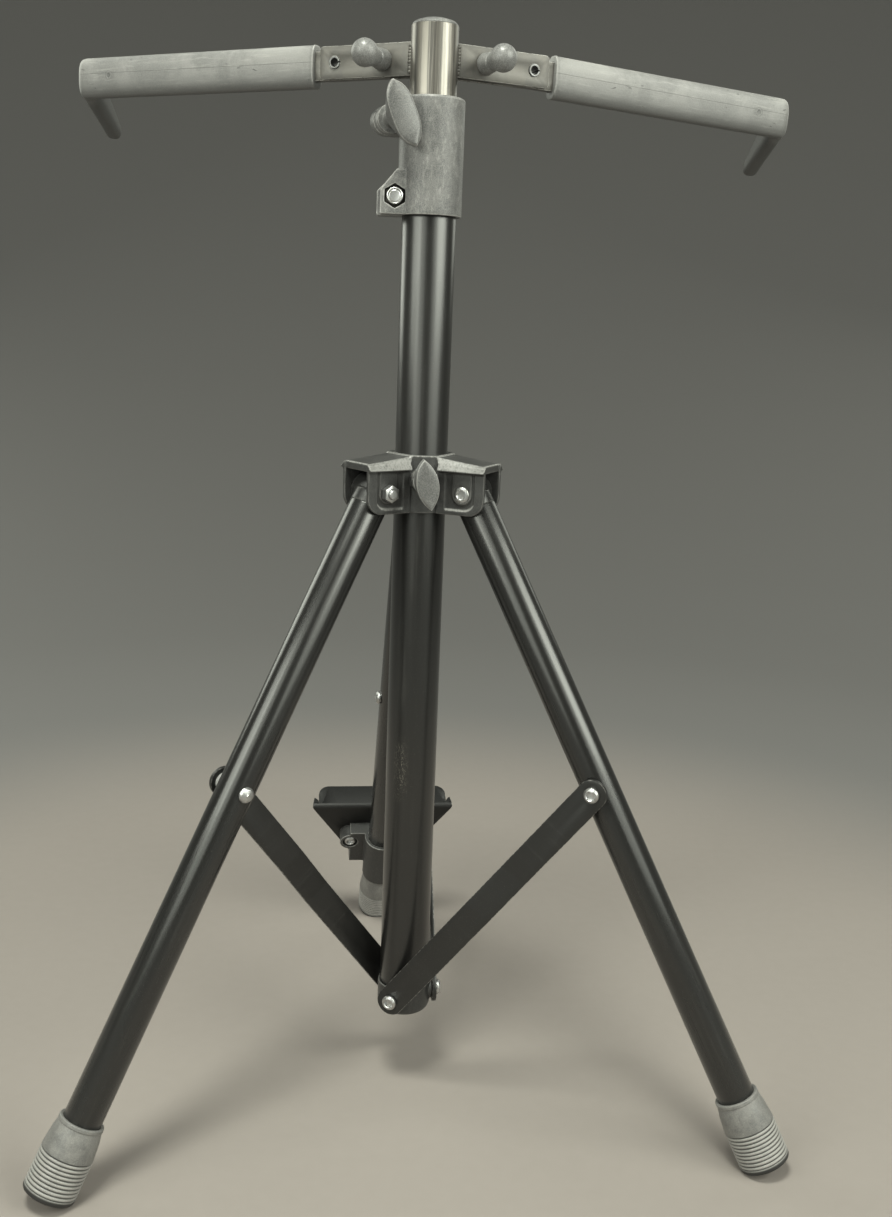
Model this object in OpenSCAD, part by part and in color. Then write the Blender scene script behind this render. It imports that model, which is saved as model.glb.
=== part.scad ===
// Folding tripod stand for a double bass.
// Millimetres, +Z up, floor at z = 0. The rear leg points along +Y.

/* [Tripod] */
// Length of a leg from its hub bolt to the bottom of its foot
leg_len = 486.5; // [450:1:520]
// Slant of a leg from the vertical when the tripod stands open
leg_slant = 28.37; // [25:0.5:31]
// Outside diameter of a leg tube
leg_d = 25; // [22:0.5:26]
// Wall of a leg tube
leg_wall = 1.5; // [1:0.1:2]
// Distance of a leg's hub bolt from the surface of the outer tube
hub_bolt_out = 19; // [18:0.5:22]
// Distance down the leg from its hub bolt to its strut bolt
strut_bolt_down = 213.4; // [200:1:225]
// Length of a strut between its two bolts
strut_len = 227.4; // [220:1:240]
// Width of a strut
strut_w = 20; // [16:1:22]
// Thickness of a strut
strut_t = 3; // [2:0.5:3.5]
// Distance up the strut from its lower bolt to the start of its joggle
joggle_start = 104; // [90:1:115]
// Length of the joggle along the strut
joggle_len = 39; // [30:1:45]
// Length of the spacer between a strut and its leg
spacer_len = 2.8; // [2:0.2:4]
// Radius of the spacer
spacer_r = 7; // [6:0.5:9]

/* [Pole] */
// Outside diameter of the outer tube
outer_d = 35; // [34:0.5:38]
// Wall of both pole tubes
pole_wall = 1.5; // [1.2:0.1:1.8]
// Length of the outer tube
outer_len = 590; // [560:5:620]
// Outside diameter of the inner tube
inner_d = 30; // [28:0.5:30]
// Length of the inner tube
inner_len = 430; // [400:5:460]
// Height of the inner tube's top above the height collar
inner_out = 43; // [42:1:80]
// Height of the domed top cap above the tube's end
top_dome_h = 4.5; // [3:0.5:6]
// Length of the guide bush on the inner tube's lower end
guide_len = 25; // [15:1:35]

/* [Base cap] */
// Height of the base cap
base_cap_h = 21.6; // [20:0.5:26]
// Wall of the base cap
base_cap_wall = 1.4; // [1:0.1:2]
// Floor of the base cap
base_cap_floor = 2.2; // [1.5:0.1:3]
// Height of the strut bolts above the bottom of the base cap
base_bolt_up = 13.7; // [12.5:0.1:15]
// Length of the plug inside the tube's lower end
base_plug_len = 26; // [24:1:40]

/* [Height collar] */
// Height of the collar
collar_h = 71.7; // [68:0.5:80]
// Outer radius of the collar beyond the outer tube
collar_wall = 3.25; // [2.5:0.25:4]
// Length of the collar that grips the outer tube
collar_grip = 34.4; // [32:0.2:36]
// Turn of the collar about the pole
collar_turn = -6.04; // [-30:0.5:30]
// Height of the collar bolt above the collar's lower edge
collar_bolt_up = 11.2; // [9.5:0.2:14]
// Distance of the collar bolt from the surface of the outer tube
collar_bolt_out = 4.6; // [4.4:0.1:6]
// Front face of the collar's ear from the pole axis
ear_front = 14; // [13:0.5:16]
// Width of the slit in the clamps
slit_w = 2; // [1:0.25:2.5]
// Height of the clamp screw above the collar's lower edge
height_screw_up = 58.4; // [55:0.2:60]
// Distance of the clamp screw from the surface of the inner tube
height_screw_out = 11; // [11:0.25:12]
// Direction of the clamp screw about the collar
height_screw_turn = 289; // [285:1:293]
// Length of the clamp knob's wing
height_wing_len = 43.5; // [38:0.5:43.5]
// Thickness of the clamp knob's wing
height_wing_w = 16.5; // [12:0.5:18]
// Tilt of the clamp knob's wing
height_wing_tilt = 24; // [0:1:90]

/* [Hub] */
// Height of the hub body
hub_h = 42.1; // [40:0.5:46]
// Height of the leg bolts above the hub's lower edge
hub_bolt_up = 13.9; // [13:0.1:15]
// Wall of the hub's sleeve
hub_wall = 5; // [4:0.25:5.5]
// Thickness of a cheek beside the leg
cheek_t = 2.6; // [2.2:0.1:3.2]
// Depth of the pocket in a cheek's outer face
cheek_pocket = 1.2; // [0.6:0.1:1.4]
// Distance from the leg bolt to the outer edge of the cheek
cheek_out = 15.5; // [14.5:0.25:17]
// Radius of the cheek's lower corner
cheek_corner_r = 11; // [6:0.5:12]
// Thickness of the hub's roof at its rim
roof_t = 6.2; // [4:0.2:7]
// Height of the hub knob above the hub's lower edge
hub_knob_up = 21.6; // [20:0.2:23]
// Length of the hub knob's wing
hub_wing_len = 33; // [28:0.5:34]
// Thickness of the hub knob's wing
hub_wing_w = 14.7; // [10:0.5:16]
// Tilt of the hub knob's wing
hub_wing_tilt = 10; // [0:1:90]

/* [Feet] */
// Height of a rubber foot along the leg
foot_h = 48.1; // [42:0.5:54]
// Outer radius of the foot's ribs
foot_r = 17.3; // [16:0.1:19]
// Radius of the foot's top ring
foot_ring_r = 14.5; // [14:0.1:15.5]
// Rubber below the end of the leg tube
foot_floor = 6.5; // [4:0.5:9]
// Number of ribs round the foot
foot_ribs = 10; // [6:1:11]
// Distance from one rib to the next
foot_rib_pitch = 2.4; // [2:0.1:2.6]
// Depth of the flat where the foot meets the floor
foot_flat = 0.6; // [0.4:0.1:1.2]

/* [Arms] */
// Turn of the arm head about the pole
head_turn = -6.76; // [-20:0.5:20]
// Sweep of each arm towards the rear
arm_sweep = 24.8; // [20:0.5:30]
// Droop of the right arm in its lock
right_droop = 2.25; // [0:0.25:4]
// Droop of the left arm in its lock
left_droop = 0; // [0:0.25:4]
// Height of the bracket's middle below the inner tube's top
bracket_down = 19.2; // [16:0.2:22]
// Height of a bracket plate
plate_h = 20.1; // [19:0.1:24]
// Thickness of a bracket plate
plate_t = 2; // [1.5:0.25:3]
// Distance of a bracket plate's outer end from the pole axis
plate_end = 79.8; // [78:0.2:82]
// Distance of the roll pin from the pole axis
pin_at = 68.8; // [67:0.1:71]
// Diameter of the roll pin
pin_d = 8; // [6:0.5:9]
// Wall of the roll pin
pin_wall = 1.4; // [1:0.1:2]
// Distance of the lock plunger from the pole axis
plunger_at = 34; // [33:0.2:36]
// Diameter of the lock plunger
plunger_d = 6; // [5:0.25:7]
// Diameter of the ball on the plunger
ball_d = 17; // [14:0.5:18]
// Distance of the ball's centre in front of the bracket's middle
ball_out = 29; // [28:0.5:32]
// Thickness of an arm's flat bar
bar_t = 6; // [5:0.5:7]
// Height of an arm's flat bar
bar_h = 18; // [16:0.5:19]
// Length of the bar inward from the roll pin
bar_tail = 42; // [40:0.5:44]
// Drop of the arm's middle below the roll pin
arm_drop = 1.4; // [0:0.1:2]
// Distance of the grip's inner end from the pole axis
grip_start = 84.5; // [84:0.5:90]
// Distance of the grip's outer end from the pole axis
grip_end = 280.6; // [250:1:300]
// Thickness of the grip
grip_t = 12.6; // [11:0.2:15]
// Height of the grip
grip_h = 27; // [24:0.5:30]
// Radius of the grip's long edges
grip_edge_r = 5; // [3:0.25:5.25]
// Length of the hook at the arm's end
hook_len = 50; // [40:1:60]
// Bend of the hook away from the arm
hook_bend = 75; // [60:1:90]
// Droop of the hook
hook_droop = 25; // [15:1:35]
// Height of the hook's tip
hook_tip_h = 14; // [11:0.5:18]

/* [Lower rest] */
// Distance of the rest plate's bend from the leg's foot ring
rest_up = 72.5; // [68:0.5:80]
// Length of the clamp that holds the rest on the rear leg
rest_clamp_len = 50; // [44:1:56]
// Wall of the clamp
rest_clamp_wall = 3.2; // [2.5:0.1:4]
// Distance of the clamp's bolts from the leg's middle
rest_bolt_side = 28.6; // [27.5:0.2:31]
// Distance of the clamp's bolts from the foot ring
rest_bolt_up = 38.4; // [34:0.2:40]
// Thickness of the rest plate
rest_t = 2.5; // [2:0.25:3]
// Half width of the rest plate at its bend
rest_half_w = 61.5; // [56:0.5:66]
// Half width of the rest plate at its lower end
rest_foot_half_w = 22; // [18:0.5:26]
// Length of the rest plate below its bend
rest_len = 70.1; // [66:0.5:74]
// Width of the rest's flange
flange_w = 20.6; // [16:0.2:26]
// Radius of the flange's outer corners
flange_corner_r = 10; // [6:0.5:12]

/* [Fits and fasteners] */
// Radial clearance between pieces that slide or turn on each other
run_fit = 0.1; // [0.05:0.01:0.12]
// Radial clearance between pieces that are fixed together
tight_fit = 0.05; // [0.02:0.01:0.08]
// Gap between flat faces of pieces that move past each other
face_gap = 0.3; // [0.25:0.05:0.4]
// Diameter of the strut, hub and rest bolts
bolt_d = 6; // [5:0.5:6.5]
// Diameter of a round bolt head
bolt_head_d = 10.5; // [9.5:0.25:11.5]
// Height of a round bolt head
bolt_head_h = 3.2; // [2.5:0.1:3.6]
// Width across the flats of a small nut
nut_af = 10; // [9.5:0.25:10.5]
// Height of a small nut
nut_h = 5; // [4:0.25:5.5]
// Diameter of the clamp screws
screw_d = 8; // [7:0.25:8]
// Width across the flats of a large nut
big_nut_af = 13; // [12:0.25:13]
// Height of a large nut
big_nut_h = 6.5; // [5.5:0.25:7]

/* [Hidden] */
$fn = 64;

// Directions of the three legs about the pole
right_a = -30;
left_a = 210;
rear_a = 90;

// Heights above the floor, from the feet up
outer_r = outer_d / 2;
inner_r = inner_d / 2;
leg_r = leg_d / 2;
foot_edge = 1;
hub_bolt_r = outer_r + hub_bolt_out;
hub_bolt_z = leg_len * cos(leg_slant) + (foot_r - foot_edge) * sin(leg_slant) - foot_flat;
strut_bolt_r = hub_bolt_r + strut_bolt_down * sin(leg_slant);
strut_bolt_z = hub_bolt_z - strut_bolt_down * cos(leg_slant);
strut_slant = asin(strut_bolt_r / strut_len);
base_bolt_z = strut_bolt_z - strut_len * cos(strut_slant);
cap_z = base_bolt_z - base_bolt_up;
outer_z = cap_z + base_cap_floor;
outer_top_z = outer_z + outer_len;
collar_z = outer_top_z - collar_grip;
collar_top_z = collar_z + collar_h;
inner_top_z = collar_top_z + inner_out;
inner_z = inner_top_z - inner_len;
bracket_z = inner_top_z - bracket_down;
hub_z = hub_bolt_z - hub_bolt_up;

// Leg top: a round knuckle on a spigot inside the tube
knuckle_r = leg_r - 1.4;
tube_top = knuckle_r + 0.4;
spigot_len = 30;

// Sides of the strut, from the leg plane outwards
upper_side = leg_r + face_gap + spacer_len;
cap_r = outer_r + tight_fit + base_cap_wall;
base_boss_r = 7.8;
boss_side = cap_r + 1.15;
lower_side = boss_side + face_gap;
base_bolt_tip = 6;
bolt_r = bolt_d / 2;
head_r = bolt_head_d / 2;
screw_r = screw_d / 2;

// Collar and its clamp screw
collar_r = outer_r + collar_wall;
collar_bolt_x = outer_r + collar_bolt_out;
ear_h = 27.7;
ear_edge_h = 15.3;
ear_front_out = 9.2;
ear_back_out = 12;
height_axis_out = inner_r + height_screw_out;
height_axis_z = collar_z + height_screw_up;
knob_flange_r = height_screw_out - 2;
knob_relief_r = knob_flange_r + face_gap;
knob_seat = -7;
knob_face = 23;
screw_block_len = 14;
// Back of the collar nut, which stays clear of the outer tube
collar_nut_back = max(ear_front - big_nut_h,
    sqrt(max(0, pow(outer_r, 2) - pow(collar_bolt_x - big_nut_af / 2, 2))) + 0.8);

// Arms, from the bracket's middle outwards
plate_in = bar_t / 2 + face_gap;
plate_out = plate_in + plate_t;
plate_corner_r = 2.5;
pin_out = 0.7;
pin_slit = 0.8;
barrel_end = 16;
barrel_wall = 2.6;
hook_edge_r = grip_t / 2;
corner_at = grip_end - hook_edge_r;

// Hub and its knob
hub_r = outer_r + run_fit + hub_wall;
cheek_in = leg_r + face_gap;
cheek_side = cheek_in + cheek_t;
roof_drop = 7.9;
hub_seat = hub_r + 4.4;
screw_boss_r = 8.5;
insert_r = 6;
pad_t = 2.4;

// Lower rest, across and along the rear leg
clamp_r = leg_r + run_fit + rest_clamp_wall;
rest_in = clamp_r + tight_fit + 0.15;
rest_end = leg_len - foot_h - face_gap;
rest_bend = leg_len - foot_h - rest_up;
rest_lug_in = 3;
rest_boss_r = 9;
flange_half_w = rest_half_w - 4.5;
flange_relief_r = 6;

// The pole stands off the origin so that the whole stand is centred on it
foot_reach = hub_bolt_r + leg_len * sin(leg_slant);
rim = foot_r - foot_edge / 2;
reach_left = foot_reach * cos(30) + rim * sqrt(1 - pow(sin(leg_slant) * cos(30), 2));
reach_front = foot_reach * sin(30) + rim * sqrt(1 - pow(sin(leg_slant) * sin(30), 2));
reach_rear = foot_reach + rim * cos(leg_slant);
reach_right = corner_at * cos(arm_sweep + head_turn) + hook_edge_r;
pole_x = (reach_left - reach_right) / 2;
pole_y = (reach_front - reach_rear) / 2;

// Places

module at_pole(a = 0, z = 0) {
    translate([pole_x, pole_y, z]) rotate([0, 0, a]) children();
}

// Along a leg: -Z runs down the leg, +X points away from the pole, -Y is the strut's side
module at_leg(a) {
    at_pole(a) translate([hub_bolt_r, 0, hub_bolt_z]) rotate([0, -leg_slant, 0]) children();
}

// Along a strut: +Z runs up the strut from its lower bolt
module at_strut(a) {
    at_pole(a, base_bolt_z) rotate([0, strut_slant, 0]) children();
}

// Along the right arm: +X runs outwards, -Y is the side of the ball knobs
module at_arm_head(left) {
    at_pole(head_turn, bracket_z) mirror([left ? 1 : 0, 0, 0]) rotate([0, 0, arm_sweep]) children();
}

// The same for what turns on the roll pin
module at_arm(left) {
    at_arm_head(left) translate([pin_at, 0, 0]) rotate([0, left ? left_droop : right_droop, 0])
        translate([-pin_at, 0, -arm_drop]) children();
}

// Along the clamp screw: +Z runs out of the collar towards the wing
module at_height_screw() {
    at_pole(collar_turn + height_screw_turn) translate([0, -height_axis_out, height_axis_z])
        rotate([0, 90, 0]) children();
}

// Along the hub screw: +Z runs from the pole axis out between the front legs
module at_hub_screw() {
    at_pole(-90, hub_z + hub_knob_up) rotate([0, 90, 0]) children();
}

// Shapes that repeat

module ring(r_out, r_in, h) {
    difference() {
        cylinder(r = r_out, h = h);
        translate([0, 0, -1]) cylinder(r = r_in, h = h + 2);
    }
}

// A round bar along Y from one side to the other
module cross(r, from, to) {
    translate([0, from, 0]) rotate([-90, 0, 0]) cylinder(r = r, h = to - from);
}

// A hexagon along Y with a point up
module cross_hex(af, from, to) {
    translate([0, from, 0]) rotate([-90, 0, 0]) rotate([0, 0, 30])
        cylinder(r = af / sqrt(3), h = to - from, $fn = 6);
}

module rounded(w, h, r) {
    translate([-w / 2 + r, -h / 2]) square([w - 2 * r, h]);
    translate([-w / 2, -h / 2 + r]) square([w, h - 2 * r]);
    for (x = [-1, 1], y = [-1, 1])
        translate([x * (w / 2 - r), y * (h / 2 - r)]) circle(r);
}

module lens(l, w) {
    arc_r = (l * l + w * w) / (4 * w);
    intersection() {
        translate([0, arc_r - w / 2]) circle(arc_r, $fn = 96);
        translate([0, w / 2 - arc_r]) circle(arc_r, $fn = 96);
    }
}

// A wing knob: a round foot, a neck and a lens-shaped wing that flares towards its face
module wing_knob(foot_r, foot_t, seat, neck_r, flare, face, len, w, tilt, bore_depth) {
    difference() {
        union() {
            translate([0, 0, seat]) cylinder(r = foot_r, h = foot_t);
            translate([0, 0, seat]) cylinder(r = neck_r, h = flare[0][1] - seat + 4);
            intersection() {
                translate([0, 0, flare[0][1]]) linear_extrude(face - flare[0][1])
                    rotate(tilt) lens(len, w);
                rotate_extrude() polygon(concat([[0, flare[0][1] - 1]], flare, [[0, face + 1]]));
            }
        }
        translate([0, 0, seat - 1]) cylinder(r = screw_r + tight_fit, h = bore_depth + 1);
    }
}

// A round bolt head with a hexagon socket, its top towards -Y
module socket_head(r, from, h) {
    difference() {
        cross(r, from - h, from);
        cross_hex(r * 0.8, from - h - 1, from - h / 2);
    }
}

// Post

module outer_tube() {
    color("#1d1e1c") difference() {
        at_pole(0, outer_z) ring(outer_r, outer_r - pole_wall, outer_len);
        for (a = [right_a, left_a, rear_a])
            at_pole(a, base_bolt_z) cross(bolt_r + tight_fit, -outer_r - 1, 0);
    }
}

module base_cap() {
    color("#20211f") difference() {
        union() {
            at_pole(0, cap_z) cylinder(r = cap_r, h = base_cap_h);
            for (a = [right_a, left_a, rear_a])
                at_pole(a, base_bolt_z) cross(base_boss_r, -boss_side, -outer_r + 1);
        }
        at_pole(0, outer_z) cylinder(r = outer_r + tight_fit, h = base_cap_h);
        for (a = [right_a, left_a, rear_a])
            at_pole(a, base_bolt_z) cross(bolt_r + tight_fit, -boss_side - 1, 0);
    }
}

module base_plug() {
    color("#2b2b2a") difference() {
        at_pole(0, outer_z + 0.2) cylinder(r = outer_r - pole_wall - tight_fit, h = base_plug_len);
        for (a = [right_a, left_a, rear_a])
            at_pole(a, base_bolt_z) cross(bolt_r + tight_fit, -outer_r, -base_bolt_tip + 0.2);
    }
}

module base_bolts() {
    color("#c9ccd0") for (a = [right_a, left_a, rear_a])
        at_pole(a, base_bolt_z) {
            socket_head(head_r, -lower_side - strut_t - face_gap, bolt_head_h);
            cross(bolt_r, -lower_side - strut_t - face_gap - 0.1, -base_bolt_tip);
        }
}

// The collar's ear, seen from the front: it slopes up towards the pole
module ear_outline(out) {
    polygon([
        [-out, 0], [-out, ear_edge_h], [-collar_r - 0.4, ear_h], [-outer_r + 4, ear_h], [-outer_r + 4, 0]
    ]);
}

module height_collar() {
    color("#3b3c3a") difference() {
        union() {
            at_pole(0, collar_z) cylinder(r = collar_r, h = collar_h - 1);
            at_pole(0, collar_top_z - 1) cylinder(r1 = collar_r, r2 = collar_r - 1, h = 1);
            at_pole(collar_turn, collar_z) translate([0, 0.5, 0]) rotate([90, 0, 0])
                linear_extrude(ear_front + 0.5) ear_outline(collar_bolt_x + ear_front_out);
            at_pole(collar_turn, collar_z) translate([0, ear_front, 0]) rotate([90, 0, 0])
                linear_extrude(ear_front) ear_outline(collar_bolt_x + ear_back_out);
            at_height_screw() translate([0, 0, knob_seat - screw_block_len]) {
                cylinder(r = knob_flange_r, h = screw_block_len);
                translate([-knob_flange_r, 0, 0])
                    cube([2 * knob_flange_r, height_axis_out - inner_r, screw_block_len]);
            }
        }
        // Bores for the two tubes
        at_pole(0, collar_z - 1) cylinder(r = outer_r + tight_fit, h = collar_grip + 1.2);
        at_pole(0, collar_z) cylinder(r = inner_r + run_fit, h = collar_h + 1);
        // Slits that let the two clamps close
        at_pole(collar_turn, collar_z - 1)
            translate([-collar_r - 20, -slit_w / 2, 0])
                cube([collar_r + 20 - outer_r + 3, slit_w, collar_grip]);
        at_height_screw() translate([-16, -height_axis_out - 2, knob_seat - 6.5])
            cube([32, 2 * height_axis_out - 3, slit_w]);
        // Room for the knob's foot, and the screw and its nut
        at_height_screw() translate([0, 0, knob_seat]) cylinder(r = knob_relief_r, h = 40);
        at_height_screw() translate([0, 0, knob_seat - screw_block_len - 1]) {
            cylinder(r = screw_r + run_fit + 0.3, h = screw_block_len + 2);
            cylinder(r = (big_nut_af + 2 * tight_fit) / sqrt(3), h = big_nut_h + 1, $fn = 6);
        }
        // The collar bolt and the pocket of its nut
        at_pole(collar_turn, collar_z + collar_bolt_up) translate([-collar_bolt_x, 0, 0]) {
            cross(screw_r + tight_fit, -ear_front - 1, ear_front + 1);
            cross_hex(big_nut_af + 2 * tight_fit, -ear_front - 1, -collar_nut_back + 0.1);
        }
    }
}

module collar_bolt() {
    color("#c9ccd0") at_pole(collar_turn, collar_z + collar_bolt_up) translate([-collar_bolt_x, 0, 0]) {
        cross(screw_r, -ear_front - 0.6, ear_front + 1);
        cross_hex(big_nut_af, ear_front + 0.1, ear_front + 5.4);
    }
}

module collar_nut() {
    color("#d4d6d8") at_pole(collar_turn, collar_z + collar_bolt_up) translate([-collar_bolt_x, 0, 0])
        difference() {
            union() {
                cross_hex(big_nut_af, -ear_front + 0.4, -collar_nut_back);
                cross(big_nut_af / 2 - 0.9, -ear_front - 0.9, -ear_front + 2);
            }
            cross(screw_r + tight_fit, -ear_front - 2, ear_front);
        }
}

module height_nut() {
    color("#c9ccd0") at_height_screw() translate([0, 0, knob_seat - screw_block_len + 0.1]) difference() {
        cylinder(r = big_nut_af / sqrt(3), h = big_nut_h - 0.2, $fn = 6);
        translate([0, 0, -1]) cylinder(r = screw_r + run_fit, h = big_nut_h + 2);
    }
}

// Clamp knob of the height collar

// How far the wing may reach at a distance along the screw and still turn past the collar
function wing_room(u) =
    u >= collar_r ? height_wing_len : height_axis_out - sqrt(collar_r * collar_r - u * u) - 0.5;
function wing_reach(u) = min(height_wing_len / 2 + 0.1, wing_room(u));

module height_knob() {
    color("#30312f") at_height_screw()
        wing_knob(knob_flange_r, 3, knob_seat + 0.1, 5.5,
            [[5.5, 6], [8.6, 12], [wing_reach(14), 14], [wing_reach(16), 16], [wing_reach(18), 18],
             [wing_reach(19.5), 19.5], [wing_reach(20.5), 20.5], [height_wing_len, collar_r + 0.3],
             [height_wing_len, knob_face]],
            knob_face, height_wing_len, height_wing_w, height_wing_tilt, 15);
}

module height_screw() {
    color("#b9bcc0") at_height_screw() translate([0, 0, knob_seat - screw_block_len - 2])
        cylinder(r = screw_r, h = screw_block_len + 16.5);
}

// Mast

module guide_bush() {
    lip = 2;
    color("#d8d6cc") at_pole(0, inner_z - lip - 0.2) difference() {
        cylinder(r = outer_r - pole_wall - run_fit, h = guide_len);
        translate([0, 0, lip]) cylinder(r = inner_r + run_fit, h = guide_len);
        translate([0, 0, -1]) cylinder(r = inner_r - 3, h = guide_len);
    }
}

module inner_tube() {
    color("#1d1e1c") at_pole(0, inner_z) ring(inner_r, inner_r - pole_wall, inner_len);
}

module top_cap() {
    dome_r = (inner_r * inner_r + top_dome_h * top_dome_h) / (2 * top_dome_h);
    plug_len = 14;
    color("#3a3b39") at_pole(0, inner_top_z) {
        intersection() {
            translate([0, 0, top_dome_h - dome_r]) sphere(r = dome_r, $fn = 96);
            translate([0, 0, 0.1]) cylinder(r = inner_r + 0.2, h = top_dome_h + 1);
        }
        translate([0, 0, -plug_len]) cylinder(r = inner_r - pole_wall - tight_fit, h = plug_len + 0.2);
    }
}

module bracket_plate(y) {
    translate([0, y + plate_t, 0]) rotate([90, 0, 0]) linear_extrude(plate_t) difference() {
        union() {
            translate([plate_end / 2, 0]) rounded(plate_end, plate_h, plate_corner_r);
            translate([0, -plate_h / 2]) square([inner_r + plate_corner_r, plate_h]);
        }
        translate([pin_at, 0]) circle(pin_d / 2 + tight_fit);
        if (y < 0) translate([plunger_at, 0]) circle(plunger_d / 2 + run_fit);
    }
}

module bracket(left) {
    color("#4a463f") difference() {
        at_arm_head(left) {
            bracket_plate(-plate_out);
            bracket_plate(plate_in);
        }
        at_pole(0, bracket_z - plate_h) cylinder(r = inner_r + tight_fit, h = 2 * plate_h);
        at_pole(head_turn, bracket_z - plate_h) translate([left ? 0 : -60, -60, 0])
            cube([60, 120, 2 * plate_h]);
    }
}

module left_bracket() {
    bracket(true);
}

module right_bracket() {
    bracket(false);
}

module roll_pins() {
    color("#2c2b29") for (left = [false, true]) at_arm_head(left) translate([pin_at, 0, 0])
        difference() {
            cross(pin_d / 2, -plate_out - pin_out, plate_out + pin_out);
            cross(pin_d / 2 - pin_wall, -plate_out - 2, plate_out + 2);
            translate([left ? -pin_d : 0, -plate_out - 2, -pin_slit / 2])
                cube([pin_d, 2 * plate_out + 4, pin_slit]);
        }
}

module plunger_barrels() {
    color("#2f302e") for (left = [false, true]) at_arm_head(left) translate([plunger_at, -plate_out, 0])
        rotate([90, 0, 0]) difference() {
            cylinder(r1 = plunger_d / 2 + barrel_wall, r2 = plunger_d / 2 + barrel_wall - 0.7,
                h = barrel_end - plate_out);
            translate([0, 0, -1]) cylinder(r = plunger_d / 2 + run_fit, h = barrel_end);
        }
}

module ball_knob(left) {
    color("#3f403e") at_arm_head(left) translate([plunger_at, 0, 0]) rotate([90, 0, 0]) difference() {
        union() {
            translate([0, 0, ball_out]) sphere(d = ball_d);
            translate([0, 0, barrel_end + face_gap])
                cylinder(r1 = plunger_d / 2 + 2, r2 = ball_d / 2 - 1.2,
                    h = ball_out - barrel_end - face_gap - 3.8);
        }
        cylinder(r = plunger_d / 2 + tight_fit, h = ball_out + 1.1);
    }
}

module left_ball_knob() {
    ball_knob(true);
}

module right_ball_knob() {
    ball_knob(false);
}

module plunger(left) {
    color("#c9ccd0") at_arm_head(left) translate([plunger_at, 0, 0])
        cross(plunger_d / 2, -ball_out - 1, -plate_in);
}

module left_plunger() {
    plunger(true);
}

module right_plunger() {
    plunger(false);
}

// Arms

module arm_bar_outline(grow) {
    tail = pin_at - bar_tail;
    difference() {
        union() {
            translate([tail + bar_h / 2, 0]) circle(bar_h / 2 + grow);
            translate([tail + bar_h / 2, -bar_h / 2 - grow])
                square([corner_at - tail - bar_h / 2 - 2 + grow, bar_h + 2 * grow]);
        }
        translate([pin_at, arm_drop]) circle(pin_d / 2 + run_fit);
        translate([plunger_at, arm_drop]) circle(plunger_d / 2 + run_fit);
    }
}

module arm_bar(left) {
    color("#4a463f") at_arm(left) translate([0, bar_t / 2, 0]) rotate([90, 0, 0])
        linear_extrude(bar_t) arm_bar_outline(0);
}

module left_arm_bar() {
    arm_bar(true);
}

module right_arm_bar() {
    arm_bar(false);
}

// The hook seen from its side: X away from the arm's corner, Y up, with a round tip
module hook_outline() {
    tip_r = hook_tip_h / 2;
    reach = hook_len - tip_r;
    tip = [reach * cos(hook_droop), -reach * sin(hook_droop)];
    root = grip_h / 2 - 0.4;
    polygon([
        [0, root], tip + [tip_r * sin(hook_droop), tip_r * cos(hook_droop)], tip + [0, -tip_r], [0, -root]
    ]);
    translate(tip) circle(tip_r);
}

module grip(left) {
    hook_t = grip_t - 0.6;
    color("#4b4b47") at_arm(left) difference() {
        union() {
            translate([grip_start, 0, 0]) rotate([90, 0, 90]) linear_extrude(corner_at - grip_start)
                rounded(grip_t, grip_h, grip_edge_r);
            translate([corner_at, 0, 0]) rotate_extrude() intersection() {
                rounded(grip_t, grip_h, grip_edge_r);
                translate([0, -grip_h]) square([grip_t, 2 * grip_h]);
            }
            translate([corner_at, 0, 0]) rotate([90, 0, hook_bend]) translate([0, 0, -hook_t / 2])
                linear_extrude(hook_t) hook_outline();
        }
        translate([0, bar_t / 2 + tight_fit, 0]) rotate([90, 0, 0])
            linear_extrude(bar_t + 2 * tight_fit) arm_bar_outline(tight_fit);
    }
}

module left_grip() {
    grip(true);
}

module right_grip() {
    grip(false);
}

// Leg hub

// A cheek, seen from its side: X away from the pole from the leg bolt, Y up
module cheek_outline() {
    x_in = outer_r + 1 - hub_bolt_r;
    translate([x_in, cheek_corner_r - hub_bolt_up])
        square([cheek_out - x_in, hub_h - roof_t - cheek_corner_r]);
    translate([x_in, -hub_bolt_up]) square([cheek_out - cheek_corner_r - x_in, cheek_corner_r + 1]);
    translate([cheek_out - cheek_corner_r, cheek_corner_r - hub_bolt_up]) circle(cheek_corner_r);
}

// The pocket in a cheek, with the boss of the leg bolt standing in it
module pocket_outline() {
    top = hub_h - hub_bolt_up - roof_t - 3.6;
    difference() {
        union() {
            translate([-11.9, -hub_bolt_up + 9]) square([20.8, top + hub_bolt_up - 9]);
            translate([-11.9, -hub_bolt_up + 3.4]) square([14, 6]);
            translate([1.9, -hub_bolt_up + 10.4]) circle(7);
        }
        circle(6.8);
        translate([-6.8, 0]) square([13.6, top + 1]);
    }
}

module hub_arm() {
    roof_z = hub_h - roof_drop;
    for (side = [-1, 1]) {
        translate([hub_bolt_r, side > 0 ? cheek_side : -cheek_in, hub_bolt_up]) rotate([90, 0, 0])
            linear_extrude(cheek_t) cheek_outline();
    }
    // Roof over the leg's head, sloping down outwards
    translate([0, cheek_side, 0]) rotate([90, 0, 0]) linear_extrude(2 * cheek_side) polygon([
        [outer_r + 1, roof_z - roof_t], [hub_bolt_r + cheek_out - 1.2, roof_z - roof_t],
        [hub_bolt_r + cheek_out - 1.2, roof_z - 1.6], [hub_bolt_r + cheek_out - 2.8, roof_z],
        [outer_r + 1, roof_z + 3]
    ]);
    // Web between the sleeve and the cheeks
    translate([outer_r + 1, -cheek_side, 0]) cube([hub_r - outer_r - 0.9, 2 * cheek_side, hub_h - 9]);
}

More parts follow.
